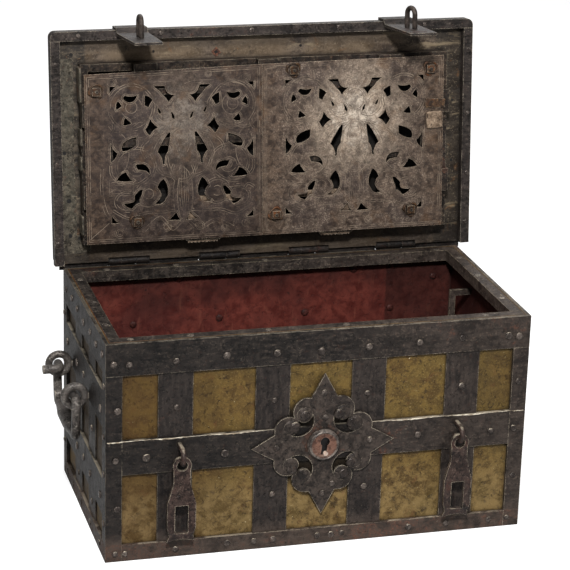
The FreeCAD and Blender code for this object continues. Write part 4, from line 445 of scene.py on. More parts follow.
# the rivet heads' light tones are partly painted highlight, and their upper sides take the painted top highlight
rivet_iron = iron("rivet_iron", (54, 48, 45), (106, 96, 89), (186, 176, 164), rust=0.22, wear=0.6, seed=85,
                  metallic=0.4, rough=(0.2, 0.34), pits=0.4, grime_and_crease_shade=0.5, top_highlight=0.85)
rivet_inside = iron("inner_rivet", (40, 20, 18), (70, 34, 29), (98, 58, 50), rust=0.3, wear=0.2, seed=88,
                    metallic=0.05, rough=(0.4, 0.6), sheen=0, grime_and_crease_shade=0.4)


def boss():
    """The boss: a grey ring round a rusty brown disc with a keyhole painted dark as shade, in millimetres from its
    middle.
    """
    s = Surface("boss_iron")
    dx = s.times(s.minus(s.x, BOSS_X), 1000)
    dz = s.times(s.minus(s.z, BOSS_Z), 1000)
    away = s.length(dx, dz)
    middle = s.noise(90, 5, 0.7, 0.7, 90)
    fine = s.noise(380, 5, 0.75, 0.3, 91)
    tones = s.remap(middle, 0.42, 0.58)
    red = s.between(tones, (70, 45, 35), (122, 86, 70))
    red = s.over(red, s.remap(fine, 0.52, 0.66), (168, 138, 122), 0.5)
    s.color = s.between(tones, (52, 47, 44), (116, 106, 98))
    s.coat(s.fall(s.stirred(away, middle, 8), 18.5, 21), red)
    s.coat(s.times(s.fall(dz, -17.5, -14), s.fall(away, 14, 19)), (214, 196, 176), 0.7)
    s.coat(s.times(s.edges(0.001), s.remap(fine, 0.4, 0.6)), (206, 192, 176), 0.5)
    # painted shade: the keyhole's inside, deeper than the front face, is near black
    s.coat(s.times(s.remap(s.y, -0.1853, -0.1842), s.fall(away, 17, 18)), (10, 7, 6))
    spot = s.length(s.plus(dx, -2.5), s.plus(dz, 13))
    s.coat(s.fall(s.stirred(spot, fine, 5), 2.6, 4.2), (226, 206, 190), 0.85)
    height = s.total((middle, 0.8), (fine, 0.4))
    return s.finish(s.remap(middle, 0.3, 0.7, 0.3, 0.5), height, 0.0012, 0.35)


boss_iron = boss()
panel_paint = panel()
lid_sheet_iron = lid_inside()

LOOKS = {
    panel_paint: "front_sheet back_sheet left_sheet right_sheet floor_sheet",
    band: "top_bands bottom_bands front_middle_band back_middle_band left_side_bands right_side_bands corner_angles "
          "lid_bands",
    hinge_iron: "lid_rear_lips hinge_body_leaves hinge_lid_leaves hinge_pins",
    strap: "front_straps back_straps side_straps lid_straps",
    mouth: "front_mouth_bar back_mouth_bar left_mouth_bar right_mouth_bar inner_bracket",
    rim_iron: "lid_front_rim lid_left_rim lid_right_rim left_hasp_tab right_hasp_tab",
    fitting: "false_escutcheon padlock_eyes key_plate keyhole_cover cover_rivet",
    hasp_iron: "left_hasp right_hasp hasp_staples",
    boss_iron: "keyhole_boss",
    grip: "left_handle right_handle handle_rings",
    lock: "lock_frame bolt_guides left_bolts right_bolts front_bolts spindle spindle_bush cover_posts",
    bolt_iron: "rear_bolts",
    nut_iron: "cover_nuts",
    lid_sheet_iron: "lid_sheet",
    left_cover: "left_lock_cover",
    right_cover: "right_lock_cover",
}
for material, names in LOOKS.items():
    for name in names.split():
        thing = nodes[name]
        if not thing.material_slots:
            thing.data.materials.append(material)
        for place in thing.material_slots:
            place.link = "OBJECT"
            place.material = material


# ---------------------------------------------------------------- pieces
def new_object(name, data):
    obj = bpy.data.objects.new(name, data)
    bpy.context.collection.objects.link(obj)
    return obj


def made(name, bm, material, body, smooth=True, outward=True):
    """Turns a finished bmesh into a piece that rides on a body; outward turns its faces out."""
    if outward:
        bmesh.ops.recalc_face_normals(bm, faces=bm.faces[:])
    mesh = bpy.data.meshes.new(name)
    bm.to_mesh(mesh)
    bm.free()
    obj = new_object(name, mesh)
    mesh.materials.append(material)
    for face in mesh.polygons:
        face.use_smooth = smooth
    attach(obj, body)


def stitch(bm, rings):
    """Faces between each ring of vertices and the next."""
    for a, b in zip(rings, rings[1:]):
        for k in range(len(a)):
            j = (k + 1) % len(a)
            bm.faces.new((a[k], a[j], b[j], b[k]))


def dome(bm, centre, normal, radius, height):
    """One hammered rivet head: a low dome with its own small dents and tilt."""
    sunk = 0.0006
    up = Vector((0, 0, 1)) if abs(normal.z) < 0.9 else Vector((0, 1, 0))
    side = up.cross(normal).normalized()
    up = normal.cross(side).normalized()
    lean = draw(-0.12, 0.12)
    turn = draw(0, math.tau)
    squash = draw(0.86, 1.1)
    rings = []
    count = 14
    for out, rise in ((1.04, 0), (0.99, 0.42), (0.8, 0.8), (0.46, 0.97)):
        ring = []
        for k in range(count):
            angle = math.tau * k / count
            r = radius * out * (1 + draw(-0.035, 0.035)) * (squash if k % 2 else 1)
            h = height * rise * (1 + lean * math.cos(angle - turn)) - (0 if rings else sunk)
            ring.append(bm.verts.new(centre + side * (r * math.cos(angle)) + up * (r * math.sin(angle)) + normal * h))
        rings.append(ring)
    top = bm.verts.new(centre + normal * height)
    stitch(bm, rings)
    for k in range(count):
        bm.faces.new((rings[-1][k], rings[-1][(k + 1) % count], top))
    bm.faces.new(rings[0][::-1])


def rivets(name, places, body="chest", material=rivet_iron, radius=0.0056, height=0.0027,
           spread=0.14):
    """One dome for each point, outward normal and share of the size."""
    bm = bmesh.new()
    for point, normal, share in places:
        size = radius * share * (1 + draw(-spread, spread))
        dome(bm, Vector(point), Vector(normal), size, height * share * (1 + draw(-spread, spread)))
    made(name, bm, material, body, outward=False)


def at(x, y, z, normal, share=1):
    return (x / 1000, y / 1000, z / 1000), normal, share


def at_end(side, y, z, share=1, x=WALL_X):
    return at(side * x, y, z, (side, 0, 0), share)


def at_lid(x, y, z, share, normal=LID_OUT):
    return on_lid(x, y, z), normal, share


# on the front, x is counted from its left edge
front = [at(x - WALL_X, -BAND_Y, z, FRONT) for x, z in [
    (12, 318), (35, 316), (106, 317), (182, 320), (259, 318), (328, 316), (402, 318), (482, 319), (550, 322),
    (625, 320), (642, 318), (15, 165), (62, 166), (182, 163), (486, 168), (605, 164), (642, 166)]]
front += [at(x - WALL_X, -STRAP_Y, z, FRONT, 0.92) for x in (108, 258, 403, 554) for z in (242, 88)]
front += [at(x - WALL_X, -BAND_Y, z, FRONT, 0.9) for x in (18, 646) for z in (244, 86)]
front += [at(x - WALL_X, -BAND_Y, FOOT_Z + draw(-2, 2), FRONT, 0.85)
          for x in (15, 30, 108, 188, 230, 260, 331, 353, 370, 478, 540, 610, 640)]
rivets("front_rivets", front)
shield = [(3.5, 250), (5, 85.5), (-69, 166), (78, 168), (21, 100), (6, 210)]
rivets("escutcheon_rivets", [at(x, -PLATE_Y, z, FRONT, 0.85) for x, z in shield])
volutes = [(-26, 216), (-41, 198), (28, 214.5), (48, 199), (-27, 120), (-44, 130), (49, 133), (38, 116)]
rivets("volute_domes", [at(x, -PLATE_Y, z, FRONT) for x, z in volutes],
       "chest", curl, radius=0.0085, height=0.0044, spread=0.06)

ends = []
for side in (-1, 1):
    ends += [at_end(side, y + draw(-3, 3), 324 + draw(-3, 3))
             for y in (-150, -100, -55, 0, 55, 100, 150)]
    for z, ys in ((240, (-136, 0, 55, 136)), (99, (-136, -55, 0, 55, 136))):
        ends += [at_end(side, y, z + draw(-5, 5)) for y in ys]
    ends += [at_end(side, y, z, 0.9, END_STRAP_X) for y in (-55, 55) for z in (170, 48)]
    ends += [at_end(side, y, z, 0.9) for y in (-163, 163) for z in (280, 200, 140, 60)]
    ends += [at_end(side, y, FOOT_Z, 0.85) for y in (-130, -55, 20, 90, 140)]
rivets("side_rivets", ends)

back = [at(x, BAND_Y, 322, BACK) for x in (-310, -260, -149, 0, 149, 260, 310)]
for x in (-300, -150, 0, 150, 300):
    back += [at(x, BAND_Y, 168, BACK), at(x, BAND_Y, FOOT_Z, BACK, 0.85)]
for x in (-224, -75, 75, 224):
    back += [at(x, STRAP_Y, z, BACK, 0.9) for z in (242, 88)]
    back += [at(x + dx, LEAF_Y, 322, BACK, 0.75) for dx in (-20, 20)]
back += [at(x, BAND_Y, z, BACK, 0.9) for x in (-317, 317) for z in (250, 90)]
rivets("back_rivets", back)

inner = [at(x, INNER_Y, z, FRONT) for x, z in [
    (-218, 326), (-144, 324), (-73, 326), (6, 323), (74, 324), (151, 322), (220, 324), (-218, 249), (-75, 251),
    (70, 251), (217, 249), (-218, 130), (-75, 128), (70, 130), (217, 131), (-290, 300), (290, 300)]]
inner += [at(x, -INNER_Y, z, BACK) for x, z in [
    (-218, 320), (-75, 322), (75, 321), (218, 320), (-75, 245), (75, 245), (-150, 60), (150, 60)]]
inner += [at(side * INNER_X, y, z, (-side, 0, 0)) for side in (-1, 1)
          for y, z in ((-110, 318), (-55, 240), (0, 318), (55, 252), (-55, 120), (55, 120))]
rivets("inner_rivets", inner, "chest", rivet_inside, radius=0.0062, height=0.0024)

flush = [at(x, y, MOUTH_Z, UP) for x, y in [
    (-264, 157), (-151, 158), (-3, 158), (139, 158), (290, 157), (-290, -158), (-200, -159), (-80, -158),
    (40, -158), (150, -159), (262, -158), (314, -90), (313, 20), (314, 110), (-314, -90), (-313, 10), (-314, 115)]]
rivets("mouth_rivets", flush, radius=0.0052, height=0.00022, spread=0.05)

rim = [at_lid(x, y, RIM_Z, 0.85, -LID_OUT) for x, y in [
    (-339, -143), (-340, 14), (-341, 142), (-302, -187), (-171, -187), (-24, -187), (120, -187), (264, -187),
    (339, -143), (339, -40), (340, 60), (340, 142)]]
rivets("rim_rivets", rim, "lid", radius=0.0045, height=0.0016)
outer = [at_lid(x, y, LID_BAND_Z, 0.9) for x in (-320, -264, -149, -75, 0, 75, 149, 264, 320)
         for y in (-169, 152) if y < 0 or abs(x) != 75]
outer += [at_lid(x, 0, LID_BAND_Z, 0.9) for x in (-300, -224, -149, -75, 75, 149, 224, 300)]
outer += [at_lid(x, y, LID_BAND_Z, 0.9) for x in (-320, 320) for y in (-100, 84)]
for x in (-224, -75, 75, 224):
    outer += [at_lid(x, y, LID_STRAP_Z, 0.85) for y in (-86, 74)]
    outer += [at_lid(x + dx, 140, LID_LEAF_Z, 0.7) for dx in (-20, 20)]
rivets("lid_outer_rivets", outer, "lid")
tabs = [at_lid(side * TAB_X + dx, TAB_Y, LID_TAB_Z, 0.75) for side in (-1, 1) for dx in (-12, 12)]
rivets("tab_rivets", tabs, "lid", height=0.0018)

# ---- the lines engraved in the covers, in percent of half a cover's width and height from its middle
# the openings' corners: out, up, bulge of the side that follows
OPENINGS = [
    [(98, 100, 0), (88, 100, -10), (98, 89.5, 0)],
    [(39, 98.5, 0), (24, 98.5, 0), (21.5, 91, -16), (8.5, 85, -10), (18, 74, -6), (27, 86, -6)],
    [(80, 83, 10), (77, 86.5, -10), (61, 86.5, 40)],
    [(50.5, 86, 8), (40, 78.5, -6), (45.5, 68.5, 0), (51, 71, 0)],
    [(87, 79, 6), (82, 71, 0), (89, 66, 12)],
    [(33.5, 67, 8), (28.5, 59.5, 0), (31, 58, 10)],
    [(15.5, 61, 8), (10.5, 53.5, 0), (10.5, 49, 0), (14, 52, 0)],
    [(44, 52, -8), (33, 38.5, -10), (44.5, 27, 5), (50.5, 36.5, -8)],
    [(77.5, 54.5, 0), (69, 46, 8), (80, 43.5, 6)],
    [(97.5, 26, -14), (88.5, 3, 10), (97.5, -9.5, 0)],
    [(78, 20, 5), (62.5, 26, 0), (63, 14.5, 10), (81.5, 6, 0), (83, 10, 12)],
    [(19, 30.5, 0), (16.5, 30, 0), (18, 14, -5), (19.5, 3, -8), (24.5, -7.5, 0), (25, -15.5, 0), (28, -16, -10),
     (29.5, -4.5, -8), (34.5, 2.5, 3)],
    [(64.5, -14.5, 5), (55.5, -14, 14), (46.5, -21, 10), (45.5, -30, -16), (53.5, -23.5, -6), (61, -22.5, 0)],
    [(90, -36.5, 12), (77, -24.5, -12), (74, -31, -16), (66.5, -37.5, 5)],
    [(26.5, -37, 6), (22, -46, 6), (20.5, -56, 10), (23.5, -66, 14), (32.5, -74, 6), (39.5, -72, -14),
     (31.5, -65, -20), (31, -56.5, -12), (35, -50, 10)],
    [(58.5, -51.5, 0), (55, -51, 5), (58, -62, -10), (59, -71.5, -16), (66.5, -75, 0), (70, -79, 8),
     (81.5, -70.5, -5), (68, -69, -15), (66.5, -61, 5)],
    [(97.5, -88.5, 0), (92.5, -95.5, 0), (87, -99, 0), (97.5, -99, 0)],
    [(9.5, -87, -5), (3.8, -99, 0), (21, -98.5, -5)],
]
HALF_WIDE, HALF_TALL = 118, 109

# circles and ovals: out, up, half width and half height in millimetres, first and last angle
ROUNDS = [
    (69, 69, 37, 37, 0, 360), (69, 69, 33.5, 33.5, 0, 360), (69, 69, 17, 17, 20, 340), (69, 69, 9, 9, 60, 400),
    (64, -17, 33, 31, -40, 250), (64, -17, 29.5, 27.5, -40, 250), (63, -20, 13, 12, 0, 330), (63, -20, 6, 6, 0, 360),
    (47, -58, 22, 21, 30, 330), (47, -58, 18.5, 17.5, 30, 330), (47, -58, 8, 8, 0, 300), (76, -68, 21, 17, -100, 190),
    (76, -68, 17.5, 13.5, -100, 190), (58, 36, 15, 12, 60, 300), (0, 68, 15, 16.5, 0, 360),
    (0, 66, 11.5, 12, 200, 340), (0, -2, 27, 44, -90, 90), (0, -2, 23.5, 40, -90, 90), (0, 40, 21, 14, -90, 90),
    (0, -62, 16, 44, -80, 80), (0, -62, 9, 40, -80, 80), (90, 3, 20, 34, 110, 250), (30, 58, 14, 17, -30, 150),
]
# bands between them: out, up
SWEEPS = [
    [(8, 47), (24, 44), (36, 56), (36, 74), (50, 94)], [(10, 36), (30, 30), (48, 20), (56, 8), (50, -6)],
    [(20, 33), (33, 22), (42, 2), (38, -14), (30, -28), (16, -34)], [(99, 55), (93, 42), (98, 32)],
    [(60, 48), (78, 36), (92, 36), (99, 44)], [(44, -30), (60, -42), (80, -44), (96, -30), (98, -14)],
    [(12, -84), (30, -86), (52, -86), (74, -93), (96, -80)], [(99, -55), (90, -50), (84, -58)],
    [(12, -16), (16, -30), (10, -40)], [(6, 28), (9, 14), (5, 2)], [(3, -20), (4, -50), (2, -80)],
    [(56, 98), (70, 103), (86, 97)], [(5, 92), (3, 98), (16, 103), (40, 103)],
]
# how far the lines keep from a cover's edge, from its openings and from a nut's middle
EDGE_GAP, LINE_GAP, NUT_GAP = 2.5, 1.4, 12


def placed(middle, hand, out, up):
    """Percent of half a cover as millimetres on the shut lid."""
    return middle + hand * (out / 100) * HALF_WIDE, -up / 100 * HALF_TALL


def traced(corners, middle, hand):
    """One opening's outline on the shut lid, in millimetres."""
    corners = [(*placed(middle, hand, out, up), bulge / 100) for out, up, bulge in corners]
    points = []
    for (x0, y0, bulge), (x1, y1, _) in zip(corners, corners[1:] + corners[:1]):
        across, along = x1 - x0, y1 - y0
        count = max(3, int(math.hypot(across, along) / 2.2))
        for k in range(count):
            t = k / count
            rise = -4 * t * (1 - t) * bulge * hand
            points.append((x0 + across * t + along * rise, y0 + along * t - across * rise))
    return points


def within(x, y, outline):
    inside = False
    for (x0, y0), (x1, y1) in zip(outline, outline[1:] + outline[:1]):
        if (y0 > y) != (y1 > y) and x < (x1 - x0) * (y - y0) / (y1 - y0) + x0:
            inside = not inside
    return inside


def smooth_way(points, step=2.4):
    """A soft curve through a few points."""
    ends = [points[0]] + points + [points[-1]]
    out = []
    for a, b, c, d in zip(ends, ends[1:], ends[2:], ends[3:]):
        count = max(2, int(math.hypot(c[0] - b[0], c[1] - b[1]) / step))
        for k in range(count):
            t = k / count
            out.append(tuple(
                0.5 * (2 * b[i] + (c[i] - a[i]) * t + (2 * a[i] - 5 * b[i] + 4 * c[i] - d[i]) * t * t
                       + (3 * b[i] - a[i] - 3 * c[i] + d[i]) * t ** 3) for i in (0, 1)))
    out.append(points[-1])
    return out


def shifted(points, distance, closed=False):
    """The same line moved sideways."""
    out = []
    count = len(points)
    for k, (x, y) in enumerate(points):
        a = points[(k - 1) % count] if closed or k else points[k]
        b = points[(k + 1) % count] if closed or k < count - 1 else points[k]
        dx, dy = b[0] - a[0], b[1] - a[1]
        size = math.hypot(dx, dy) or 1
        out.append((x + dy / size * distance, y - dx / size * distance))
    return out


def straight(x0, y0, x1, y1, step=4):
    count = max(2, int(math.hypot(x1 - x0, y1 - y0) / step))
    return [(x0 + (x1 - x0) * k / count, y0 + (y1 - y0) * k / count) for k in range(count + 1)]


def box(cx, cy, wide, tall):
    corners = [(cx - wide, cy - tall), (cx + wide, cy - tall), (cx + wide, cy + tall), (cx - wide, cy + tall)]
    return [point for a, b in zip(corners, corners[1:] + corners[:1]) for point in straight(*a, *b, 2.5)]


def swirl(cx, cy, last, turns, hand):
    """A spiral from 2 mm out to the radius last."""
    count = int(turns * 26)
    out = []
    for k in range(count + 1):
        r, angle = 2 + (last - 2) * k / count, math.tau * turns * k / count
        out.append((cx + hand * r * math.cos(angle), cy + r * math.sin(angle)))
    return out


def rim_lines(low_x, high_x, front_low, front_high):
    """Two lines along a cover's four edges."""
    out = []
    for inset in (4, 7):
        left, right, back = low_x + inset, high_x - inset, COVER_BACK - inset
        left_front, right_front = COVER_FRONT + front_low + inset, COVER_FRONT + front_high + inset
        out += [straight(left, left_front, right, right_front), straight(left, back, right, back),
                straight(left, left_front, left, back), straight(right, right_front, right, back)]
    return out


def allowed(x, y, outlines, plate, gap):
    """Whether a line's point lies on a cover, clear of its edges, nuts and openings."""
    low_x, high_x, front_low, front_high = plate
    front = COVER_FRONT + front_low + (front_high - front_low) * (x - low_x) / (high_x - low_x)
    if not (low_x + EDGE_GAP < x < high_x - EDGE_GAP and front + EDGE_GAP < y < COVER_BACK - EDGE_GAP):
        return False
    if any((x - nx) ** 2 + (y - ny) ** 2 < NUT_GAP ** 2 for nx, ny in NUTS):
        return False
    for (x0, x1, y0, y1), outline in outlines:
        if x0 - gap < x < x1 + gap and y0 - gap < y < y1 + gap:
            if within(x, y, outline) or min((x - px) ** 2 + (y - py) ** 2 for px, py in outline) < gap * gap:
                return False
    return True


def engrave(word, middle, plate, extra):
    """A cover's lines as thin raised burrs, pale as a painted glint on them; plate is its left and right edge and how
    its front edge runs.
    """
    outlines = []
    for corners in OPENINGS:
        for hand in (-1, 1):
            line = traced(corners, middle, hand)
            xs, ys = zip(*line)
            outlines.append(((min(xs), max(xs), min(ys), max(ys)), line))
    lines = []
    for _, line in outlines:
        area = sum(a[0] * b[1] - b[0] * a[1] for a, b in zip(line, line[1:] + line[:1]))
        for distance in (1, 3.1):
            ring = shifted(line, distance if area > 0 else -distance, True)
            lines.append((ring + ring[:1], distance * 0.9))
    for hand in (-1, 1):
        for out, up, wide, tall, first, last in ROUNDS:
            cx, cy = placed(middle, hand, out, up)
            count = max(10, int(abs(last - first) / 360 * math.tau * max(wide, tall) / 2.6))
            angles = [math.radians(first + (last - first) * k / count) for k in range(count + 1)]
            lines.append(([(cx + hand * wide * math.cos(a), cy - tall * math.sin(a)) for a in angles], LINE_GAP))
        for sweep in SWEEPS:
            way = smooth_way([placed(middle, hand, out, up) for out, up in sweep])
            lines += [(shifted(way, 1.7), LINE_GAP), (shifted(way, -1.7), LINE_GAP)]
    lines += [(line, LINE_GAP) for line in rim_lines(*plate) + extra]

    runs = []
    for line, gap in lines:
        run = []
        rub = draw(0, 100)
        for k, (x, y) in enumerate(line):
            worn_off = math.sin(rub + k * 0.37) + math.sin(rub * 1.7 + k * 0.13) > 1.55
            if worn_off or not allowed(x, y, outlines, plate, gap):
                if len(run) > 2:
                    runs.append(run)
                run = []
            else:
                run.append((x + draw(-0.12, 0.12), y + draw(-0.12, 0.12)))
        if len(run) > 2:
            runs.append(run)

    bm = bmesh.new()
    for run in runs:
        half = 0.33 * draw(0.75, 1.3)
        pairs = [[bm.verts.new(on_lid(*point, COVER_FACE)) for point in pair]
                 for pair in zip(shifted(run, half), shifted(run, -half))]
        for a, b in zip(pairs, pairs[1:]):
            bm.faces.new((a[0], a[1], b[1], b[0]))
    made(f"{word}_cover_lines", bm, burr_glint_line, "lid", smooth=False, outward=False)


engrave("left", -142.7, (-298, -13.1, 11, 4.2), [
    box(-242, 51, 15, 9), box(-242, 51, 19, 13), box(-242, 51, 9, 4),
    smooth_way([(-274, 20), (-275, 60), (-266, 96), (-240, 112)], 3),
    smooth_way([(-270, 20), (-271, 58), (-262, 93), (-238, 108)], 3),
    straight(-294, 133, -262, 107), box(-56, 50, 12, 8), box(-56, 50, 8, 4),
    smooth_way([(-205, 118), (-180, 100), (-160, 118), (-140, 104), (-118, 120), (-90, 108), (-60, 122)], 3),
    smooth_way([(-205, 124), (-180, 106), (-160, 124), (-140, 110), (-118, 126), (-90, 114), (-60, 128)], 3),
] + [swirl(cx, cy, last, 2.6, hand) for cx, cy, last, hand in (
    (-245, 124, 9, 1), (-170, 118, 8, -1), (-115, 118, 8, 1), (-75, 124, 7, -1), (-40, 118, 7, 1),
    (-255, -116, 8, -1), (-100, -124, 6, 1), (-40, -116, 8, -1))])
engrave("right", 140.5, (-12.5, 290, 4.2, 0.5), [swirl(cx, cy, last, 2.4, hand) for cx, cy, last, hand in (
    (30, 122, 7, 1), (78, 124, 7, -1), (120, 122, 7, 1), (165, 124, 7, -1), (205, 120, 7, 1), (150, -126, 6, 1))])


# ---- collars, crusts, chips, packings and the worn bead
def collars():
    """Rings round the ends of the hinge pins, along X."""
    inner, outer, length, chamfer = 3.75, 6.7, 2.5, 0.5
    profile = ((0, inner), (0, outer - chamfer), (chamfer, outer), (length - chamfer, outer),
               (length, outer - chamfer), (length, inner))
    bm = bmesh.new()
    angles = [math.tau * k / 20 for k in range(20)]
    for x in [middle + dx for middle in HINGE_XS for dx in (-33.6, 31.1)]:
        rings = [[bm.verts.new(Vector((x + dx, PIN_Y + r * math.cos(a), PIN_Z + r * math.sin(a))) / 1000)
                  for a in angles] for dx, r in profile]
        stitch(bm, rings + rings[:1])
    made("hinge_collars", bm, hinge_iron, "chest")


def crusts():
    """Rough rusted rings round the nuts."""
    inner, outer, height = 9.4, 12.2, 2.2
    bm = bmesh.new()
    count = 22
    for x, y in NUTS:
        rings = [], [], [], []
        turn = draw(0, 6)
        for k in range(count):
            angle = math.tau * k / count
            far = outer * (1 + 0.13 * math.sin(3 * angle + turn) + draw(-0.08, 0.08))
            profile = ((inner, 0), (inner, 0.8), (inner * 0.35 + 0.65 * far, 1), (far, 0))
            for ring, (r, h) in zip(rings, profile):
                z = NUT_FACE - height * h * (1 + draw(-0.25, 0.25) * (h > 0))
                ring.append(bm.verts.new(on_lid(x + r * math.cos(angle), y + r * math.sin(angle), z)))
        stitch(bm, rings + rings[:1])
    made("nut_crusts", bm, nut_iron, "lid")


collars()
crusts()


def chip(name, corners, face_z, material, thick=CHIP_THICK):
    """A thin torn sheet lying on the lid's inside."""
    bm = bmesh.new()
    rough = []
    for (x0, y0), (x1, y1) in zip(corners, corners[1:] + corners[:1]):
        count = max(1, int(math.hypot(x1 - x0, y1 - y0) / 6))
        for k in range(count):
            t = k / count
            rough.append([a + (b - a) * t + draw(-0.6, 0.6) * (k > 0) for a, b in ((x0, x1), (y0, y1))])
    low, high = [[bm.verts.new(on_lid(x, y, z)) for x, y in rough] for z in (face_z, face_z - thick)]
    bm.faces.new(low)
    bm.faces.new(high[::-1])
    stitch(bm, [low, high])
    made(name, bm, material, "lid", smooth=False)


strip_iron = iron("side_strip_iron", (48, 43, 37), (96, 88, 76), (170, 156, 132), rust=0.3, wear=0.6, seed=95,
                  sheen_color=(90, 86, 74), metallic=0.1)
chip("lid_side_strip", [(-329, -150), (-309, -150), (-308, -60), (-310, 10), (-307, 96), (-308, 146), (-329, 148)],
     STRIP_Z, strip_iron)
chip("lid_torn_plate", [(-329, 128), (-314, 126), (-308, 132), (-296, 131), (-284, 140), (-286, 158), (-329, 163)],
     TORN_Z, strip_iron)
# flat discs painted dark as the shade inside holes
holes = bmesh.new()
angles = [math.tau * k / 14 for k in range(14)]
for x, y, r in [(-311, -156, 3), (-94, -139, 2), (-319, 76, 3.4), (-318, 132, 3.2), (-303, 136, 2.8),
                (-325, -1, 3), (318, -60, 2.2), (318, 40, 2.6), (60, -158, 2.2), (-180, -157, 2)]:
    torn = [(x + r * draw(0.8, 1.15) * math.cos(a), y + r * draw(0.8, 1.15) * math.sin(a)) for a in angles]
    holes.faces.new([holes.verts.new(on_lid(*point, HOLES_Z)) for point in torn])
made("lid_holes", holes, hole_shade_paint, "lid", smooth=False, outward=False)
chip("loose_nut", [(-87, -153), (-79.5, -144), (-71, -152), (-78.5, -161)], NUT_Z, nut_rust)
# a flat disc painted dark as the shade in the nut's bore
chip("loose_nut_shank", [(-82.5, -152.8), (-79.3, -149.2), (-75.8, -152.4), (-79, -156)], SHANK_Z,
     hole_shade_paint, thick=0.005)


def lump(name, centre, size, turn, body, material, place=None, dent=0.06, bevel=0.06):
    """A small forged block with chipped corners; place turns millimetres into the scene."""
    bm = bmesh.new()
    bmesh.ops.create_cube(bm, size=1.0)
    bmesh.ops.bevel(bm, geom=bm.edges[:], offset=bevel, segments=2, profile=0.6, affect="EDGES")
    bmesh.ops.subdivide_edges(bm, edges=[e for e in bm.edges if e.calc_length() > 0.4], cuts=1)
    cosine, sine = math.cos(math.radians(turn)), math.sin(math.radians(turn))
    for vert in bm.verts:
        x, y, z = (c * (1 + draw(-dent, dent)) * w for c, w in zip(vert.co, size))
        x, y = x * cosine - y * sine, x * sine + y * cosine
        point = (centre[0] + x, centre[1] + y, centre[2] + z)
        vert.co = place(*point) if place else Vector(point) / 1000
    made(name, bm, material, body)


lump("right_catch", (275, -62.5, 312.2), (33, 15, 3.2), 3, "lid", nut_iron, on_lid)
lump("right_keeper", (274, -35.5, 311.6), (26, 27, 4.4), -3, "lid", bolt_iron, on_lid, bevel=0.08)
for number, (y, length, x) in enumerate([(-112, 54, -303.1), (12, 22, -303), (-30, 26, -302.9), (110, 30, -303)]):
    lump(f"left_packing_{number}", (x, y, 330), (3.2, length, 24), 0, "lid", strip_iron, on_lid,
         dent=0.04, bevel=0.05)


def bead():
    """The middle front band's raised, torn top edge, caught by the light, left and right of the escutcheon."""
    level, face = 195.3, -174.9
    bm = bmesh.new()
    for start, end in ((-328, -84), (92, 328)):
        count = int(abs(end - start) / 3.2)
        rings = []
        drift = draw(0, 9)
        for k in range(count + 1):
            x = start + (end - start) * k / count
            strength = 0.55 + 0.45 * math.sin(drift + k * 0.21) + draw(-0.25, 0.25)
            tall = max(0.5, 1.9 * strength) * (0.3 if k in (0, count) else 1)
            out = max(0.25, 0.9 * strength + draw(-0.15, 0.15))
            top = level + draw(-0.25, 0.35)
            profile = ((0, top), (out, top - 0.15 * tall), (out * 0.8, top - tall), (0, top - tall * 1.1))
            rings.append([bm.verts.new(Vector((x, face - o, z)) / 1000) for o, z in profile])
        stitch(bm, rings)
    # its pale colour is partly painted highlight
    made("front_ledge_bead", bm, cream, "chest")


bead()

# ---- fillers that close the light gaps beside the hinge knuckles
for number, x in enumerate(HINGE_XS):
    lump(f"hinge_filler_{number}", (x, 180.3, 346.8), (24.4, 2.4, 5.8), 0, "chest", hinge_iron,
         dent=0.004, bevel=0.01)

# ---------------------------------------------------------------- stage
ground = bpy.data.meshes.new("floor")
ground.from_pydata([(-6, -6, 0), (6, -6, 0), (6, 6, 0), (-6, 6, 0)], [], [(0, 1, 2, 3)])
floor = new_object("floor", ground)
floor.location = (0, 0, -0.0006)
s = Surface("pale_floor")
greys = s.blend(s.noise(40, 3, 0.5, 0, 99), (0.52, 0.52, 0.52, 1), (0.56, 0.56, 0.56, 1))
s.feed(s.shader.inputs["Base Color"], greys)
s.feed(s.shader.inputs["Roughness"], 0.9)
# seen directly it also glows, so that it renders white; what it lights stays as its colour says
glow = s.add("ShaderNodeEmission", {"Color": WHITE, "Strength": 0.8})
both = s.add("ShaderNodeAddShader", {0: s.shader.outputs[0], 1: glow.outputs[0]})
seen = s.add("ShaderNodeLightPath").outputs["Is Camera Ray"]
pick = s.add("ShaderNodeMixShader", {0: seen, 1: s.shader.outputs[0], 2: both.outputs[0]})
s.link(pick.outputs[0], s.out.inputs["Surface"])
ground.materials.append(s.mat)

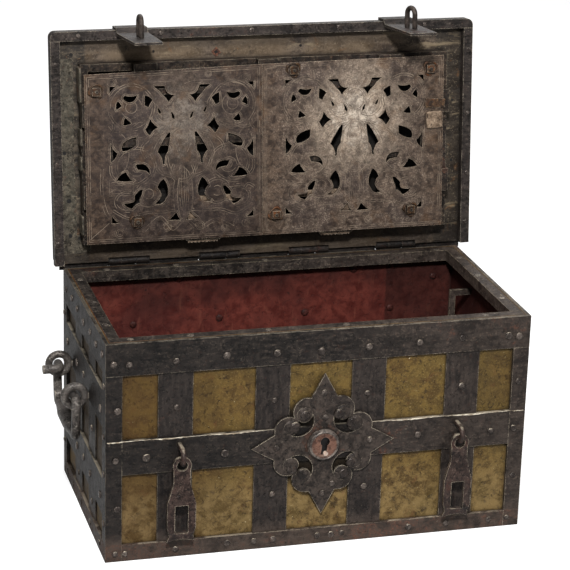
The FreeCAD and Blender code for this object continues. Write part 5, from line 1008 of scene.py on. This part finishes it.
scene = bpy.context.scene
scene.world = bpy.data.worlds.new("studio")
sky = Tree(scene.world, "ShaderNodeOutputWorld")
light = sky.add("ShaderNodeBackground", {"Color": WHITE, "Strength": 0.15})
shown = sky.add("ShaderNodeBackground", {"Color": WHITE, "Strength": 1})
seen = sky.add("ShaderNodeLightPath").outputs["Is Camera Ray"]
pick = sky.add("ShaderNodeMixShader", {0: seen, 1: light.outputs[0], 2: shown.outputs[0]})
sky.link(pick.outputs[0], sky.out.inputs[0])


def lamp(name, azimuth, elevation, distance, size, power):
    """An area light round the object; azimuth 0 is in front, 90 on the right."""
    light = bpy.data.lights.new(name, "AREA")
    light.shape = "DISK"
    light.size = size
    light.energy = power
    obj = new_object(name, light)
    az, el = math.radians(azimuth), math.radians(elevation)
    centre = Vector((0, 0, 0.3))
    way = Vector((math.sin(az) * math.cos(el), -math.cos(az) * math.cos(el), math.sin(el)))
    obj.location = centre + way * distance
    obj.rotation_euler = (centre - obj.location).to_track_quat("-Z", "Y").to_euler()


lamp("key", -16, 41, 3.2, 0.34, 98)
lamp("overhead", 0, 80, 2.6, 1.2, 30)
lamp("edge_left", -112, 30, 3, 0.8, 5)
lamp("fill_right", 60, 16, 3.4, 1.4, 6)
lamp("back_fill", 166, 38, 3.4, 2.4, 34)

scene.view_settings.view_transform = "Standard"

# the photograph's camera, fitted to the corners of the chest
camera = bpy.data.cameras.new("camera")
camera.lens = 144.65
camera.sensor_width = 36
camera.sensor_fit = "HORIZONTAL"
camera.clip_end = 50
shot = new_object("camera", camera)
eye = (-0.9298, -3.234, 1.5375)
az, el, roll = math.radians(15.834), math.radians(19.283), math.radians(1.722)
ahead = Vector((math.sin(az) * math.cos(el), math.cos(az) * math.cos(el), -math.sin(el)))
level = Vector((math.cos(az), -math.sin(az), 0))
above = level.cross(ahead)
right = math.cos(roll) * level + math.sin(roll) * above
top = -math.sin(roll) * level + math.cos(roll) * above
shot.matrix_world = Matrix((
    (right.x, top.x, -ahead.x, eye[0]),
    (right.y, top.y, -ahead.y, eye[1]),
    (right.z, top.z, -ahead.z, eye[2]),
    (0, 0, 0, 1),
))
scene.camera = shot
